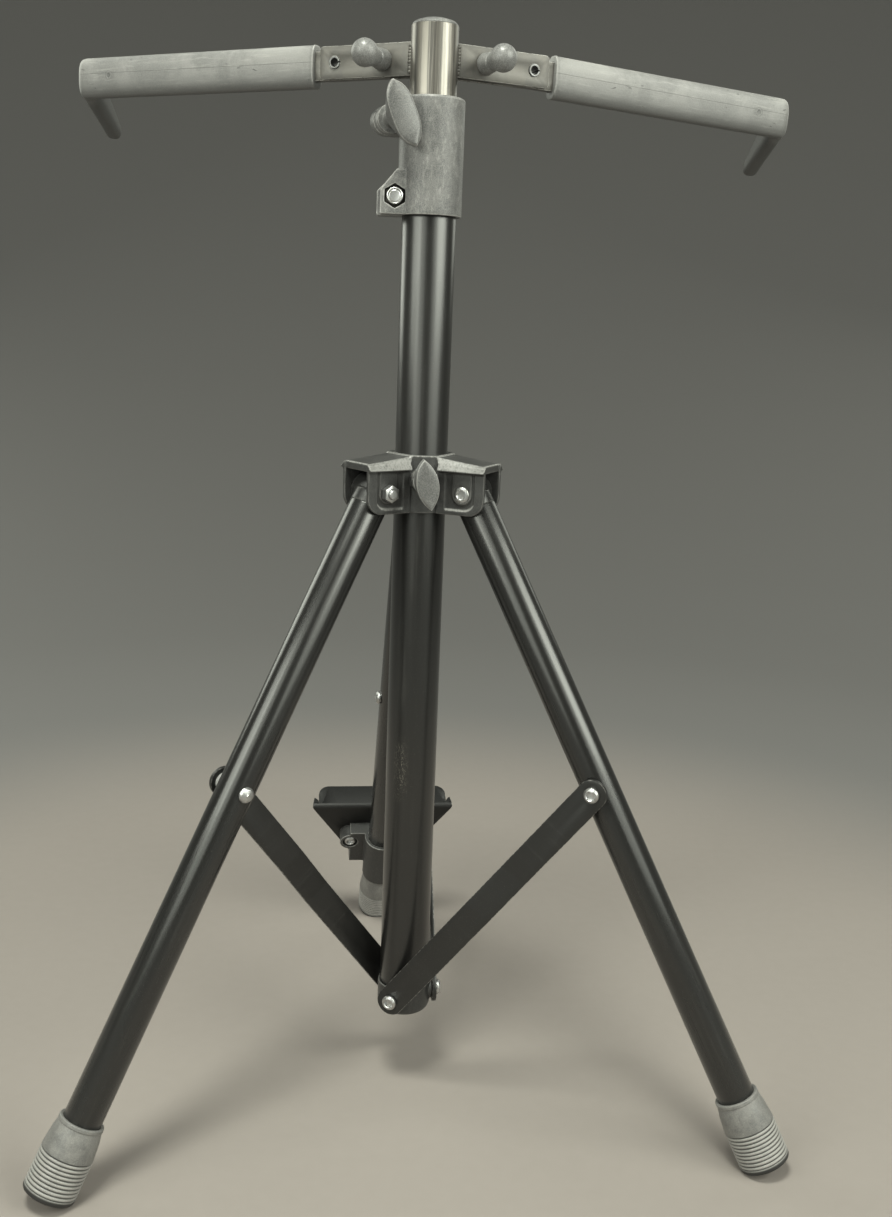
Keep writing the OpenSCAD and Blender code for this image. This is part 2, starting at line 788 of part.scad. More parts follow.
module hub_body() {
    color("#333432") difference() {
        union() {
            at_pole(0, hub_z) cylinder(r = hub_r, h = hub_h - 2);
            at_pole(0, hub_z + hub_h - 2) cylinder(r1 = hub_r, r2 = hub_r - 1.5, h = 2);
            for (a = [right_a, left_a, rear_a]) at_pole(a, hub_z) hub_arm();
            at_hub_screw() cylinder(r = screw_boss_r, h = hub_seat);
        }
        at_pole(0, hub_z - 1) cylinder(r = outer_r + run_fit, h = hub_h + 2);
        // Pockets and bolt holes in the cheeks
        for (a = [right_a, left_a, rear_a]) at_pole(a, hub_bolt_z) translate([hub_bolt_r, 0, 0]) {
            for (side = [-1, 1]) translate([0, side > 0 ? cheek_side + 1 : -cheek_side + cheek_pocket, 0])
                rotate([90, 0, 0]) linear_extrude(cheek_pocket + 1) pocket_outline();
            cross(bolt_r + tight_fit, -cheek_side - 1, cheek_side + 1);
            cross(head_r + 0.1, -cheek_side - 1, -cheek_side + 0.9);
        }
        // The hub screw's insert, pad and screw
        at_hub_screw() cylinder(r = insert_r + tight_fit, h = hub_seat + 1);
    }
}

module leg_bolts() {
    color("#c9ccd0") for (a = [right_a, left_a, rear_a]) at_pole(a, hub_bolt_z)
        translate([hub_bolt_r, 0, 0]) {
            socket_head(head_r, -cheek_side + 0.85, 1.9);
            cross(bolt_r, -cheek_side + 0.7, cheek_side + nut_h + 1);
        }
}

module leg_nuts() {
    color("#c9ccd0") for (a = [right_a, left_a, rear_a]) at_pole(a, hub_bolt_z)
        translate([hub_bolt_r, 0, 0]) difference() {
            cross_hex(nut_af, cheek_side + 0.1, cheek_side + nut_h);
            cross(bolt_r + tight_fit, 0, cheek_side + nut_h + 1);
        }
}

module hub_pad() {
    color("#cfcdc4") at_hub_screw() translate([0, 0, outer_r + 0.15]) cylinder(r = insert_r - 0.4, h = pad_t);
}

module hub_insert() {
    color("#b8923f") at_hub_screw() translate([0, 0, outer_r + pad_t + 0.5])
        ring(insert_r, screw_r + run_fit, hub_seat - outer_r - pad_t - 0.6);
}

module hub_knob() {
    half = hub_wing_len / 2 + 0.1;
    color("#30312f") at_hub_screw()
        wing_knob(7.8, 2.2, hub_seat + face_gap, 5.5,
            [[5.5, hub_seat + 3.6], [8, hub_seat + 6], [11, hub_seat + 8], [half, hub_seat + 12.5],
             [half, hub_seat + 20.8]],
            hub_seat + 20.8, hub_wing_len, hub_wing_w, hub_wing_tilt, 12);
}

module hub_screw() {
    color("#b9bcc0") at_hub_screw() translate([0, 0, outer_r + pad_t + 0.45])
        cylinder(r = screw_r, h = hub_seat - outer_r - pad_t + 11);
}

// Legs

module leg_tube(a) {
    color("#1d1e1c") at_leg(a) difference() {
        translate([0, 0, foot_floor - leg_len])
            ring(leg_r, leg_r - leg_wall, leg_len - foot_floor - tube_top);
        translate([0, 0, -strut_bolt_down]) cross(bolt_r + 1 + tight_fit, -leg_r - 1, leg_r + 1);
    }
}

module right_leg_tube() {
    leg_tube(right_a);
}

module left_leg_tube() {
    leg_tube(left_a);
}

module rear_leg_tube() {
    leg_tube(rear_a);
}

module leg_knuckle(a) {
    color("#2b2b2a") at_leg(a) difference() {
        union() {
            cross(knuckle_r, -leg_r + 0.4, leg_r - 0.4);
            translate([0, 0, 0.1 - tube_top]) cylinder(r = leg_r - 0.1, h = tube_top - 3);
            translate([0, 0, -tube_top - spigot_len])
                cylinder(r = leg_r - leg_wall - tight_fit, h = spigot_len + 2);
        }
        cross(bolt_r + run_fit, -leg_r - 1, leg_r + 1);
    }
}

module right_leg_knuckle() {
    leg_knuckle(right_a);
}

module left_leg_knuckle() {
    leg_knuckle(left_a);
}

module rear_leg_knuckle() {
    leg_knuckle(rear_a);
}

module foot_outline() {
    rib_r = foot_rib_pitch / 2 + 0.1;
    core_r = foot_r - 1;
    ribs_top = foot_edge + 1 + foot_ribs * foot_rib_pitch;
    difference() {
        union() {
            polygon([
                [0, 0], [foot_r - foot_edge, 0], [foot_r, foot_edge], [foot_r, foot_edge + 1],
                [core_r, foot_edge + 1.2], [core_r, ribs_top], [foot_r, ribs_top],
                [foot_ring_r + 0.3, foot_h - 3.2], [foot_ring_r, foot_h - 2.8], [foot_ring_r, foot_h - 0.5],
                [foot_ring_r - 0.5, foot_h], [0, foot_h]
            ]);
            for (i = [0 : foot_ribs - 1])
                translate([foot_r - rib_r, foot_edge + 1.2 + (i + 0.5) * foot_rib_pitch])
                    circle(rib_r, $fn = 24);
        }
        translate([0, foot_floor]) square([leg_r + tight_fit, foot_h]);
        translate([-foot_r, -1]) square([foot_r, foot_h + 2]);
    }
}

module foot(a) {
    color("#4d4d4a") difference() {
        at_leg(a) translate([0, 0, -leg_len]) rotate_extrude() foot_outline();
        translate([-500, -500, -100]) cube([1000, 1000, 100]);
    }
}

module right_foot() {
    foot(right_a);
}

module left_foot() {
    foot(left_a);
}

module rear_foot() {
    foot(rear_a);
}

// A barrel nut through the leg, which takes the strut bolt
module strut_nut(a) {
    color("#c9ccd0") at_leg(a) translate([0, 0, -strut_bolt_down]) difference() {
        union() {
            cross(bolt_r + 1, -leg_r + 0.4, leg_r + 0.2);
            cross(head_r, leg_r + 0.1, leg_r + 0.1 + bolt_head_h);
        }
        cross(bolt_r, -leg_r - 1, leg_r - 6);
    }
}

module right_strut_nut() {
    strut_nut(right_a);
}

module left_strut_nut() {
    strut_nut(left_a);
}

module rear_strut_nut() {
    strut_nut(rear_a);
}

// Struts

// The strut's run seen edge on: X up the strut, Y away from the leg plane
module strut_run() {
    low = strut_w / 2 + 1;
    polygon([
        [-low, lower_side], [joggle_start, lower_side], [joggle_start + joggle_len, upper_side],
        [strut_len + low, upper_side], [strut_len + low, upper_side + strut_t],
        [joggle_start + joggle_len, upper_side + strut_t], [joggle_start, lower_side + strut_t],
        [-low, lower_side + strut_t]
    ]);
}

module strut(a) {
    color("#22221f") at_strut(a) difference() {
        intersection() {
            rotate([0, -90, 0]) mirror([0, 1, 0]) translate([0, 0, -strut_w / 2])
                linear_extrude(strut_w) strut_run();
            union() {
                cross(strut_w / 2, -lower_side - strut_t - 1, 0);
                translate([-strut_w / 2, -lower_side - strut_t - 1, 0])
                    cube([strut_w, lower_side + strut_t + 1, strut_len]);
                translate([0, 0, strut_len]) cross(strut_w / 2, -lower_side - strut_t - 1, 0);
            }
        }
        cross(bolt_r + run_fit, -lower_side - strut_t - 1, 0);
        translate([0, 0, strut_len]) cross(bolt_r + tight_fit, -lower_side - strut_t - 1, 0);
    }
}

module right_strut() {
    strut(right_a);
}

module left_strut() {
    strut(left_a);
}

module rear_strut() {
    strut(rear_a);
}

module strut_bolt(a) {
    color("#c9ccd0") at_strut(a) translate([0, 0, strut_len]) {
        socket_head(head_r, -upper_side - strut_t - 0.05, bolt_head_h);
        cross(bolt_r, -upper_side - strut_t - 0.1, -leg_r - face_gap);
    }
}

module right_strut_bolt() {
    strut_bolt(right_a);
}

module left_strut_bolt() {
    strut_bolt(left_a);
}

module rear_strut_bolt() {
    strut_bolt(rear_a);
}

module strut_spacer(a) {
    color("#bdbcb4") at_strut(a) translate([0, 0, strut_len]) difference() {
        cross(spacer_r, -upper_side + 0.05, -leg_r - face_gap);
        cross(bolt_r + tight_fit, -upper_side - 1, 0);
    }
}

module right_strut_spacer() {
    strut_spacer(right_a);
}

module left_strut_spacer() {
    strut_spacer(left_a);
}

module rear_strut_spacer() {
    strut_spacer(rear_a);
}

// Lower rest on the rear leg

module at_rest_bolts() {
    for (side = [-1, 1])
        at_leg(rear_a) translate([0, side * rest_bolt_side, rest_bolt_up + foot_h - leg_len])
            rotate([0, 90, 0]) children();
}

module rest_clamp() {
    lug_up = 12;
    color("#3a3b39") difference() {
        union() {
            at_leg(rear_a) translate([0, 0, -rest_end]) cylinder(r = clamp_r, h = rest_clamp_len);
            at_leg(rear_a) translate([rest_lug_in, -rest_bolt_side, -rest_end + lug_up])
                cube([clamp_r - rest_lug_in, 2 * rest_bolt_side, rest_clamp_len - lug_up]);
            at_rest_bolts() translate([0, 0, rest_lug_in])
                cylinder(r = rest_boss_r, h = clamp_r - rest_lug_in);
        }
        at_leg(rear_a) translate([0, 0, -rest_end - 1]) cylinder(r = leg_r + run_fit, h = rest_clamp_len + 2);
        at_rest_bolts() cylinder(r = bolt_r + tight_fit, h = clamp_r + 1);
        at_rest_bolts() translate([0, 0, rest_lug_in - 1]) cylinder(r = head_r + 1.4, h = bolt_head_h + 1.2);
    }
}

module rest_plate_outline() {
    difference() {
        polygon([
            [-rest_half_w, 0], [rest_half_w, 0], [rest_foot_half_w, -rest_len], [-rest_foot_half_w, -rest_len]
        ]);
        for (side = [-1, 1])
            translate([side * rest_bolt_side, rest_bolt_up - rest_up]) circle(bolt_r + tight_fit);
    }
}

// The flange, seen along the leg: a tip at each end of the bend, drawn in beside it, and round far corners
module flange_outline() {
    tip_w = rest_half_w + 1;
    corner_x = flange_half_w - flange_corner_r;
    difference() {
        union() {
            translate([-flange_half_w, 0]) square([2 * flange_half_w, flange_w - flange_corner_r]);
            translate([-corner_x, 0]) square([2 * corner_x, flange_w]);
            for (side = [-1, 1])
                translate([side * corner_x, flange_w - flange_corner_r]) circle(flange_corner_r);
            translate([-tip_w, 0]) square([2 * tip_w, rest_t + flange_relief_r + 0.5]);
        }
        for (side = [-1, 1])
            translate([side * (flange_half_w + flange_relief_r - 0.05), rest_t + flange_relief_r])
                circle(flange_relief_r);
    }
}

module rest_plate() {
    color("#3a362e") at_leg(rear_a) {
        translate([rest_in, 0, -rest_bend]) rotate([90, 0, 90]) linear_extrude(rest_t) rest_plate_outline();
        translate([rest_in, 0, -rest_bend - rest_t]) rotate([0, 0, -90]) linear_extrude(rest_t)
            flange_outline();
    }
}

module rest_bolts() {
    color("#c9ccd0") at_rest_bolts() {
        translate([0, 0, rest_lug_in + 0.2]) cylinder(r = head_r, h = bolt_head_h);
        translate([0, 0, rest_lug_in + bolt_head_h + 0.1])
            cylinder(r = bolt_r, h = rest_in + rest_t + nut_h + 0.9 - rest_lug_in - bolt_head_h);
    }
}

module rest_nuts() {
    color("#c9ccd0") at_rest_bolts() translate([0, 0, rest_in + rest_t + 0.05]) difference() {
        cylinder(r = nut_af / sqrt(3), h = nut_h - 0.5, $fn = 6);
        translate([0, 0, -1]) cylinder(r = bolt_r + tight_fit, h = nut_h + 2);
    }
}

outer_tube();
height_collar();
collar_bolt();
collar_nut();
height_nut();
base_cap();
base_plug();
base_bolts();
guide_bush();
inner_tube();
top_cap();
left_bracket();
right_bracket();
roll_pins();
plunger_barrels();
left_ball_knob();
right_ball_knob();
left_plunger();
right_plunger();
left_arm_bar();
right_arm_bar();
left_grip();
right_grip();
height_knob();
height_screw();
hub_body();
leg_bolts();
leg_nuts();
hub_pad();
hub_insert();
hub_knob();
hub_screw();
right_leg_tube();
left_leg_tube();
rear_leg_tube();
right_leg_knuckle();
left_leg_knuckle();
rear_leg_knuckle();
right_foot();
left_foot();
rear_foot();
right_strut_nut();
left_strut_nut();
rear_strut_nut();
right_strut();
left_strut();
rear_strut();
right_strut_bolt();
left_strut_bolt();
rear_strut_bolt();
right_strut_spacer();
left_strut_spacer();
rear_strut_spacer();
rest_clamp();
rest_plate();
rest_bolts();
rest_nuts();
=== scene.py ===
from math import cos, pi, radians, sin, sqrt, tau

import bmesh
import bpy
import numpy as np
from mathutils import Matrix, Vector


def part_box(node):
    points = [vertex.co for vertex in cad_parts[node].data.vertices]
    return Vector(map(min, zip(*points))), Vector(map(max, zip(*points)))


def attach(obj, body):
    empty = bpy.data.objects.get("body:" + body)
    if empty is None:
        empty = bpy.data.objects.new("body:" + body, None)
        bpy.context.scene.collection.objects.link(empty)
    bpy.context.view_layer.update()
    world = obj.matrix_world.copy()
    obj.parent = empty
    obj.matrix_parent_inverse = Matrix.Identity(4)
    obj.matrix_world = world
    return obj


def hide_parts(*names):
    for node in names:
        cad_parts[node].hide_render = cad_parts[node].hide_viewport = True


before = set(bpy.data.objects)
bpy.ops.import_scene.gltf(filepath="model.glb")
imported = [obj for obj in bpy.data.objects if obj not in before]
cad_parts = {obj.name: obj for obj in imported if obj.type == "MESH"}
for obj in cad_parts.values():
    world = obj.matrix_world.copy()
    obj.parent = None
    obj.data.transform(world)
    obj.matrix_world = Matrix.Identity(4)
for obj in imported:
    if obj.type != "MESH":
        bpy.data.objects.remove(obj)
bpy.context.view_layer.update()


# Outer tube: the stand's post, a drawn steel tube of 35 mm with a 1.5 mm wall, powder coated
# satin black. It is cut square, and its lower end is pressed into the base cap. Everything on
# the stand is placed from its axis, in millimetres.
tube_low, tube_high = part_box("outer_tube")
POST_X, POST_Y = (500 * (tube_low + tube_high)).xy
POST_FOOT, POST_TOP = tube_low.z * 1000, tube_high.z * 1000
POST_R, TUBE_WALL = 17.5, 1.5


def shift(x=0, y=0, z=0):
    return Matrix.Translation((x, y, z))


def turn(angle, axis):
    return Matrix.Rotation(radians(angle), 4, axis)


def about_post(angle=0, height=0):
    """A place at a height on the post's axis, turned to face an angle."""
    return Matrix.Scale(0.001, 4) @ shift(POST_X, POST_Y, height) @ turn(angle, "Z")


def outward(bm):
    bmesh.ops.recalc_face_normals(bm, faces=bm.faces)
    return bm


def turned(profile, steps=72, closed=False):
    """A shape off the lathe, from (radius, height) rings. A ring with a third value is a hexagon."""
    bm = bmesh.new()
    rings = []
    for radius, height, *hexagon in profile:
        if radius == 0:
            rings.append([bm.verts.new((0, 0, height))])
            continue
        ring = []
        for i in range(steps):
            t = tau * i / steps
            r = radius / cos(t % (tau / 6) - tau / 12) if hexagon else radius
            ring.append(bm.verts.new((r * cos(t), r * sin(t), height)))
        rings.append(ring)
    if closed:
        rings.append(rings[0])
    for low, high in zip(rings, rings[1:]):
        for i in range(steps):
            on = (i + 1) % steps
            corners = dict.fromkeys(
                (low[i % len(low)], low[on % len(low)], high[on % len(high)], high[i % len(high)]))
            if len(corners) > 2:
                bm.faces.new(list(corners))
    return outward(bm)


def eased(points, radius, closed=False, steps=4):
    """The same outline with its corners rounded. A point may carry its own radius as a third value."""
    out = []
    count = len(points)
    for i, (x, y, *own) in enumerate(points):
        r = own[0] if own else radius
        here = Vector((x, y))
        if r == 0 or not closed and i in (0, count - 1):
            out.append((x, y))
            continue
        back = Vector(points[i - 1][:2]) - here
        on = Vector(points[(i + 1) % count][:2]) - here
        half = back.angle(on) / 2
        run = min(r / np.tan(half), 0.49 * back.length, 0.49 * on.length)
        r = run * np.tan(half)
        a, b = here + back.normalized() * run, here + on.normalized() * run
        centre = here + (back.normalized() + on.normalized()).normalized() * (r / sin(half))
        for k in range(steps + 1):
            spoke = (a - centre).lerp(b - centre, k / steps).normalized() * r
            out.append(tuple(centre + spoke))
    return out


def pipe(r_out, r_in, low, high, ease=0.3):
    """A tube with its cut ends just broken."""
    outline = eased([(r_in, low), (r_out, low), (r_out, high), (r_in, high)], ease, closed=True, steps=2)
    return turned(outline, closed=True)


def moved(bm, place):
    """The shape in its place. A mirrored one keeps its faces outwards."""
    bmesh.ops.transform(bm, matrix=place, verts=bm.verts)
    if place.is_negative:
        bmesh.ops.reverse_faces(bm, faces=bm.faces)
    return bm


def meshed(name, bm):
    """A mesh of the shape, which is used up."""
    mesh = bpy.data.meshes.new(name)
    bm.to_mesh(mesh)
    bm.free()
    return mesh


def put_in(name, data):
    obj = bpy.data.objects.new(name, data)
    bpy.context.scene.collection.objects.link(obj)
    return obj


def piece(name, bm, place, body, finish, node):
    """Puts a shape drawn in millimetres in its place, riding on its body instead of its CAD node."""
    grain = bm.verts.layers.float_vector.new("grain")
    for v in bm.verts:
        v[grain] = v.co
    mesh = meshed(name, moved(bm, place))
    mesh.materials.clear()
    mesh.materials.append(finish)
    mesh.shade_smooth()
    mesh.set_sharp_from_angle(angle=radians(35))
    obj = put_in(name, mesh)
    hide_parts(node)
    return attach(obj, body)


class Wire:
    """A socket of a finish. Sums written with wires become Math nodes."""

    def __init__(self, maker, socket):
        self.maker, self.socket = maker, socket

    def math(self, operation, *values):
        return self.maker.add("ShaderNodeMath", {"operation": operation}, dict(enumerate(values)))

    def __add__(self, other):
        return self.math("ADD", self, other)

    __radd__ = __add__

    def __sub__(self, other):
        return self.math("SUBTRACT", self, other)

    def __rsub__(self, other):
        return self.math("SUBTRACT", other, self)

    def __mul__(self, other):
        return self.math("MULTIPLY", self, other)

    def __abs__(self):
        return self.math("ABSOLUTE", self)

    def between(self, low, high):
        """0 below low, 1 above high, eased in between."""
        return self.maker.add("ShaderNodeMapRange", {"interpolation_type": "SMOOTHSTEP"},
                              {0: self, 1: low, 2: high})


class Finish:
    """A material being made: every node goes in through add."""

    def __init__(self, name):
        self.material = bpy.data.materials.new(name)
        self.material.use_nodes = True
        self.tree = self.material.node_tree
        self.shader = self.tree.nodes["Principled BSDF"]

    def add(self, kind, settings=None, values=None, out=0):
        node = self.tree.nodes.new(kind)
        for key, value in (settings or {}).items():
            setattr(node, key, value)
        for key, value in (values or {}).items():
            self.put(node.inputs[key], value)
        return Wire(self, node.outputs[out])

    def put(self, socket, value):
        if isinstance(value, Wire):
            self.tree.links.new(value.socket, socket)
        else:
            socket.default_value = value

    def own(self):
        """The piece's own millimetres, kept in its mesh, with Z along a tube or a turned part."""
        return self.add("ShaderNodeAttribute", {"attribute_name": "grain"}, out="Vector")

    def metres(self):
        """The stand's own metres, for a node that keeps its CAD mesh."""
        return self.add("ShaderNodeTexCoord", out="Object")

    def xyz(self, spot):
        return [self.add("ShaderNodeSeparateXYZ", None, {0: spot}, out=i) for i in range(3)]

    def edge(self):
        """How exposed the spot is: 1 on an edge that hands and floors rub."""
        return self.add("ShaderNodeAttribute", {"attribute_name": "edge"}, out="Fac")

    def stretched(self, spot, x, y, z):
        return self.add("ShaderNodeMapping", None, {"Vector": spot, "Scale": (x, y, z)})

    def noise(self, spot, scale, detail=3.0, rough=0.5, warp=0.0, up=None):
        """Noise, drawn out along Z where up is below 1."""
        spot = self.stretched(spot, 1, 1, up) if up else spot
        return self.add("ShaderNodeTexNoise", None, {
            "Vector": spot, "Scale": scale, "Detail": detail, "Roughness": rough, "Distortion": warp})

    def mix(self, amount, first, second):
        return self.add("ShaderNodeMix", {"data_type": "RGBA"}, {0: amount, 6: first, 7: second}, out=2)

    def over(self, colour, *layers):
        """Colours laid over the first one, each by its own amount."""
        for amount, layer in layers:
            colour = self.mix(amount, colour, layer)
        return colour

    def bump(self, height, depth):
        return self.add("ShaderNodeBump", None, {"Height": height, "Distance": depth})

    def done(self, **sockets):
        for name, value in sockets.items():
            self.put(self.shader.inputs[name.replace("_", " ")], value)
        return self.material


def grey(level, warm=0.0):
    """A grey by its linear level, a little warm or cool."""
    return (level * (1 + warm), level, level * (1 - 1.6 * warm), 1)


def powder_coat(name, level, gloss, clear=0.5, scrape=None):
    """Satin black powder coat: fine orange peel, long rub marks, specks of dust, bare steel at edges.
    A scrape is a patch of fine nicks on a tube's front: how far across, how far up and how tall."""
    coat = Finish(name)
    spot = coat.own()
    peel = coat.noise(spot, 0.9, 2)
    along = coat.noise(spot, 0.35, 4, 0.6, up=0.03)
    cloud = coat.noise(spot, 0.035, 3, up=0.4)
    dust = coat.noise(spot, 2.2, 1).between(0.68, 0.78)
    rubbed = along.between(0.5, 0.72) * cloud.between(0.4, 0.62)
    chip = coat.edge() * coat.noise(spot, 0.45, 4, 0.65).between(0.46, 0.6)
    colour = coat.mix(rubbed * 0.5, grey(level, 0.02), grey(level * 2.4, 0.04))
    colour = coat.over(colour, (dust * 0.25, grey(0.22, 0.05)), (chip * 0.8, grey(0.3, 0.03)))
    if scrape:
        side, up, tall = scrape.values()
        across, deep, height = coat.xyz(spot)
        near = (1 - abs(height - up).between(tall * 0.3, tall)) * (1 - abs(across - side).between(1.0, 6.5))
        nicks = coat.noise(coat.stretched(spot, 1.6, 1, 0.45), 1.1, 4, 0.75, 1.4).between(0.55, 0.66)
        colour = coat.mix(near * nicks * (0 - deep).between(4, 9) * 0.75, colour, grey(0.3, 0.1))
    normal = coat.bump(peel + rubbed * -0.3, 0.00002)
    return coat.done(Base_Color=colour, Roughness=gloss + cloud * 0.08 + rubbed * 0.14 + chip * -0.05,
                     Metallic=chip * 0.8, Coat_Weight=clear, Coat_Roughness=gloss - 0.04, Normal=normal)


scraped_tube = powder_coat("scraped_tube_coat", 0.011, 0.27, scrape={"side": -8.5, "up": 185, "tall": 28})
piece("post_tube", pipe(POST_R, POST_R - TUBE_WALL, 0, POST_TOP - POST_FOOT), about_post(0, POST_FOOT),
      "post", scraped_tube, "outer_tube")


# Base cap: a moulded nylon cup that closes the post's lower end, with three flat bosses that the
# struts turn against. A solid plug inside the tube takes the three strut bolts.
CAP_FOOT, CAP_H, CAP_R, CAP_FLOOR, CAP_BORE = 52.93, 21.6, 18.95, 2.2, POST_R + 0.05
LEG_TURNS = {"right": -30, "left": 210, "rear": 90}
STRUT_FOOT_Z, BOSS_SIDE, BOSS_R, BOSS_ROOT, BOSS_HOLE, BOSS_SEAT = 66.629, 20.1, 7.8, 17.0, 3.1, 18.5


def joined(target, shape, place=Matrix()):
    """Adds a shape, in its place, to another one."""
    mesh = meshed("part", moved(shape, place))
    target.from_mesh(mesh)
    bpy.data.meshes.remove(mesh)
    return target


def cad_copy(node, place=about_post()):
    """The CAD node's shape in the millimetres of a place, with its loose triangles joined up."""
    bm = bmesh.new()
    bm.from_mesh(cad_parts[node].data)
    moved(bm, place.inverted())
    bmesh.ops.remove_doubles(bm, verts=bm.verts, dist=0.004)
    return bm


def evaluated(bm, prepare):
    """The shape after the modifiers that prepare adds to it."""
    obj = put_in("blank", meshed("blank", bm))
    prepare(obj)
    graph = bpy.context.evaluated_depsgraph_get()
    made = bpy.data.meshes.new_from_object(obj.evaluated_get(graph))
    bpy.data.objects.remove(obj)
    out = bmesh.new()
    out.from_mesh(made)
    return out


def moulded(bm, grid, soft, keep=0.5):
    """Fuses closed shapes into one skin with the soft edges and fillets of a moulding."""

    def skin(obj):
        remesh = obj.modifiers.new("skin", "REMESH")
        remesh.mode, remesh.voxel_size = "VOXEL", grid
        ease = obj.modifiers.new("ease", "SMOOTH")
        ease.factor, ease.iterations = 0.5, soft
        obj.modifiers.new("thin", "DECIMATE").ratio = keep

    out = evaluated(bm, skin)
    wear = out.verts.layers.float.new("edge")
    out.normal_update()
    for v in out.verts:
        bulge = sum((v.co - e.other_vert(v).co).normalized().dot(v.normal) for e in v.link_edges)
        v[wear] = min(1, max(0, bulge / max(1, len(v.link_edges)) * 9 - 0.4))
    return out


def nylon(name, level, gloss, grain_depth=0.00005, wear=0.5, chalk_and_sheen=0.12):
    """Glass-filled nylon: a spark-eroded grain, paler where hands wear it, pale and powdery on its rubbed edges,
    and a painted highlight on faces that a piece marks for one.
    """
    resin = Finish(name)
    spot = resin.own()
    grain = resin.noise(spot, 1.6, 3, 0.6)
    patch = resin.noise(spot, 0.055, 5, 0.62, 0.4)
    streak = resin.noise(spot, 0.5, 3, 0.6, up=0.12)
    scuff = resin.noise(spot, 0.42, 4, 0.7, 0.3, up=0.45)
    worn = patch.between(0.42, 0.66) * (streak * 0.6 + 0.55)
    # Pale on edges marked as worn; on the hub these marks also carry a painted highlight.
    rub = resin.edge() * resin.noise(spot, 0.8, 4, 0.6, up=0.5).between(0.12, 0.62)
    scuffed = scuff.between(0.5, 0.68) * (worn * 0.7 + 0.3) * wear
    colour = resin.mix(grain.between(0.35, 0.68), grey(level * 0.62, 0.0), grey(level * 1.35, 0.01))
    colour = resin.over(colour, (scuffed, grey(min(0.45, level * 2.6), 0.02)),
                        (worn * wear * 0.6, grey(min(0.45, level * 1.8), 0.02)),
                        (rub * 0.7, grey(min(0.5, level * 3.2 + chalk_and_sheen), 0.02)))
    return resin.done(Base_Color=colour, Roughness=gloss + worn * 0.12 + rub * -0.1 + grain * 0.06,
                      Normal=resin.bump(grain, grain_depth))


black_nylon = nylon("black_nylon", 0.028, 0.3)
cup = turned(eased([(0, 0), (CAP_R, 0, 5.5), (CAP_R, CAP_H, 0.5), (CAP_BORE, CAP_H, 0.3),
                    (CAP_BORE, CAP_FLOOR, 0.2), (0, CAP_FLOOR)], 0.2, steps=6))
for angle in LEG_TURNS.values():
    boss = turned(eased([
        (0, BOSS_ROOT), (BOSS_R, BOSS_ROOT, 0), (BOSS_R, BOSS_SIDE, 0.7), (BOSS_HOLE, BOSS_SIDE, 0.3),
        (BOSS_HOLE, BOSS_SEAT, 0.1), (0, BOSS_SEAT)], 0.3))
    joined(cup, boss, turn(angle, "Z") @ shift(0, 0, STRUT_FOOT_Z - CAP_FOOT) @ turn(90, "X"))
piece("base_cap_shell", moulded(cup, 0.45, 3, 0.45), about_post(0, CAP_FOOT), "post",
      black_nylon, "base_cap")


def dress(node, finish):
    """A hidden or plain CAD node keeps its own mesh, and gets its finish."""
    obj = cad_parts[node]
    for entry in obj.material_slots:
        entry.material = finish


def inner_nylon(name, level):
    """The same resin on a node that keeps its CAD mesh."""
    resin = Finish(name)
    spot = resin.metres()
    grain, patch = resin.noise(spot, 1600, 2), resin.noise(spot, 60, 4)
    return resin.done(Base_Color=resin.mix(patch, grey(level * 0.75), grey(level * 1.3, 0.02)),
                      Roughness=grain * 0.1 + 0.45, Normal=resin.bump(grain, 0.00004))


dress("base_plug", inner_nylon("plug_nylon", 0.035))


# Strut bolts at the base: three M6 bolts with dished round heads and a hexagon socket, zinc
# plated, set round the cap. The struts turn on them.
HEAD_R, HEAD_H, BOLT_R, BOLT_END = 5.25, 3.2, 3.0, 6.0


def zinc(name, level=0.62, gloss=0.26, in_metres=False, painted_shade_below=None):
    """Bright zinc plate: small soft blotches, fine scratches and a dull bloom, and painted shade, near black,
    below an optional height.
    """
    plate = Finish(name)
    spot = plate.stretched(plate.metres(), 1000, 1000, 1000) if in_metres else plate.own()
    bloom = plate.noise(spot, 0.28, 4, 0.6)
    hair = plate.noise(plate.stretched(spot, 1, 0.15, 1), 2.4, 2)
    colour = plate.mix(bloom.between(0.35, 0.7), grey(level, -0.01), grey(level * 0.72, 0.02))
    # Painted shade: below the given height the zinc fades to near black, for a part sunk in a dark pocket.
    if painted_shade_below:
        above_painted_shade = plate.xyz(spot)[2].between(painted_shade_below - 0.6, painted_shade_below)
        colour = plate.mix(above_painted_shade, grey(0.05, 0.05), colour)
    return plate.done(Base_Color=colour, Metallic=1.0, Roughness=gloss + bloom * 0.16 + hair * 0.08,
                      Normal=plate.bump(hair + bloom * 2, 0.00001))


zinc_plate = zinc("zinc_plate")
plain_zinc = zinc("plain_zinc", 0.6, 0.28, in_metres=True)


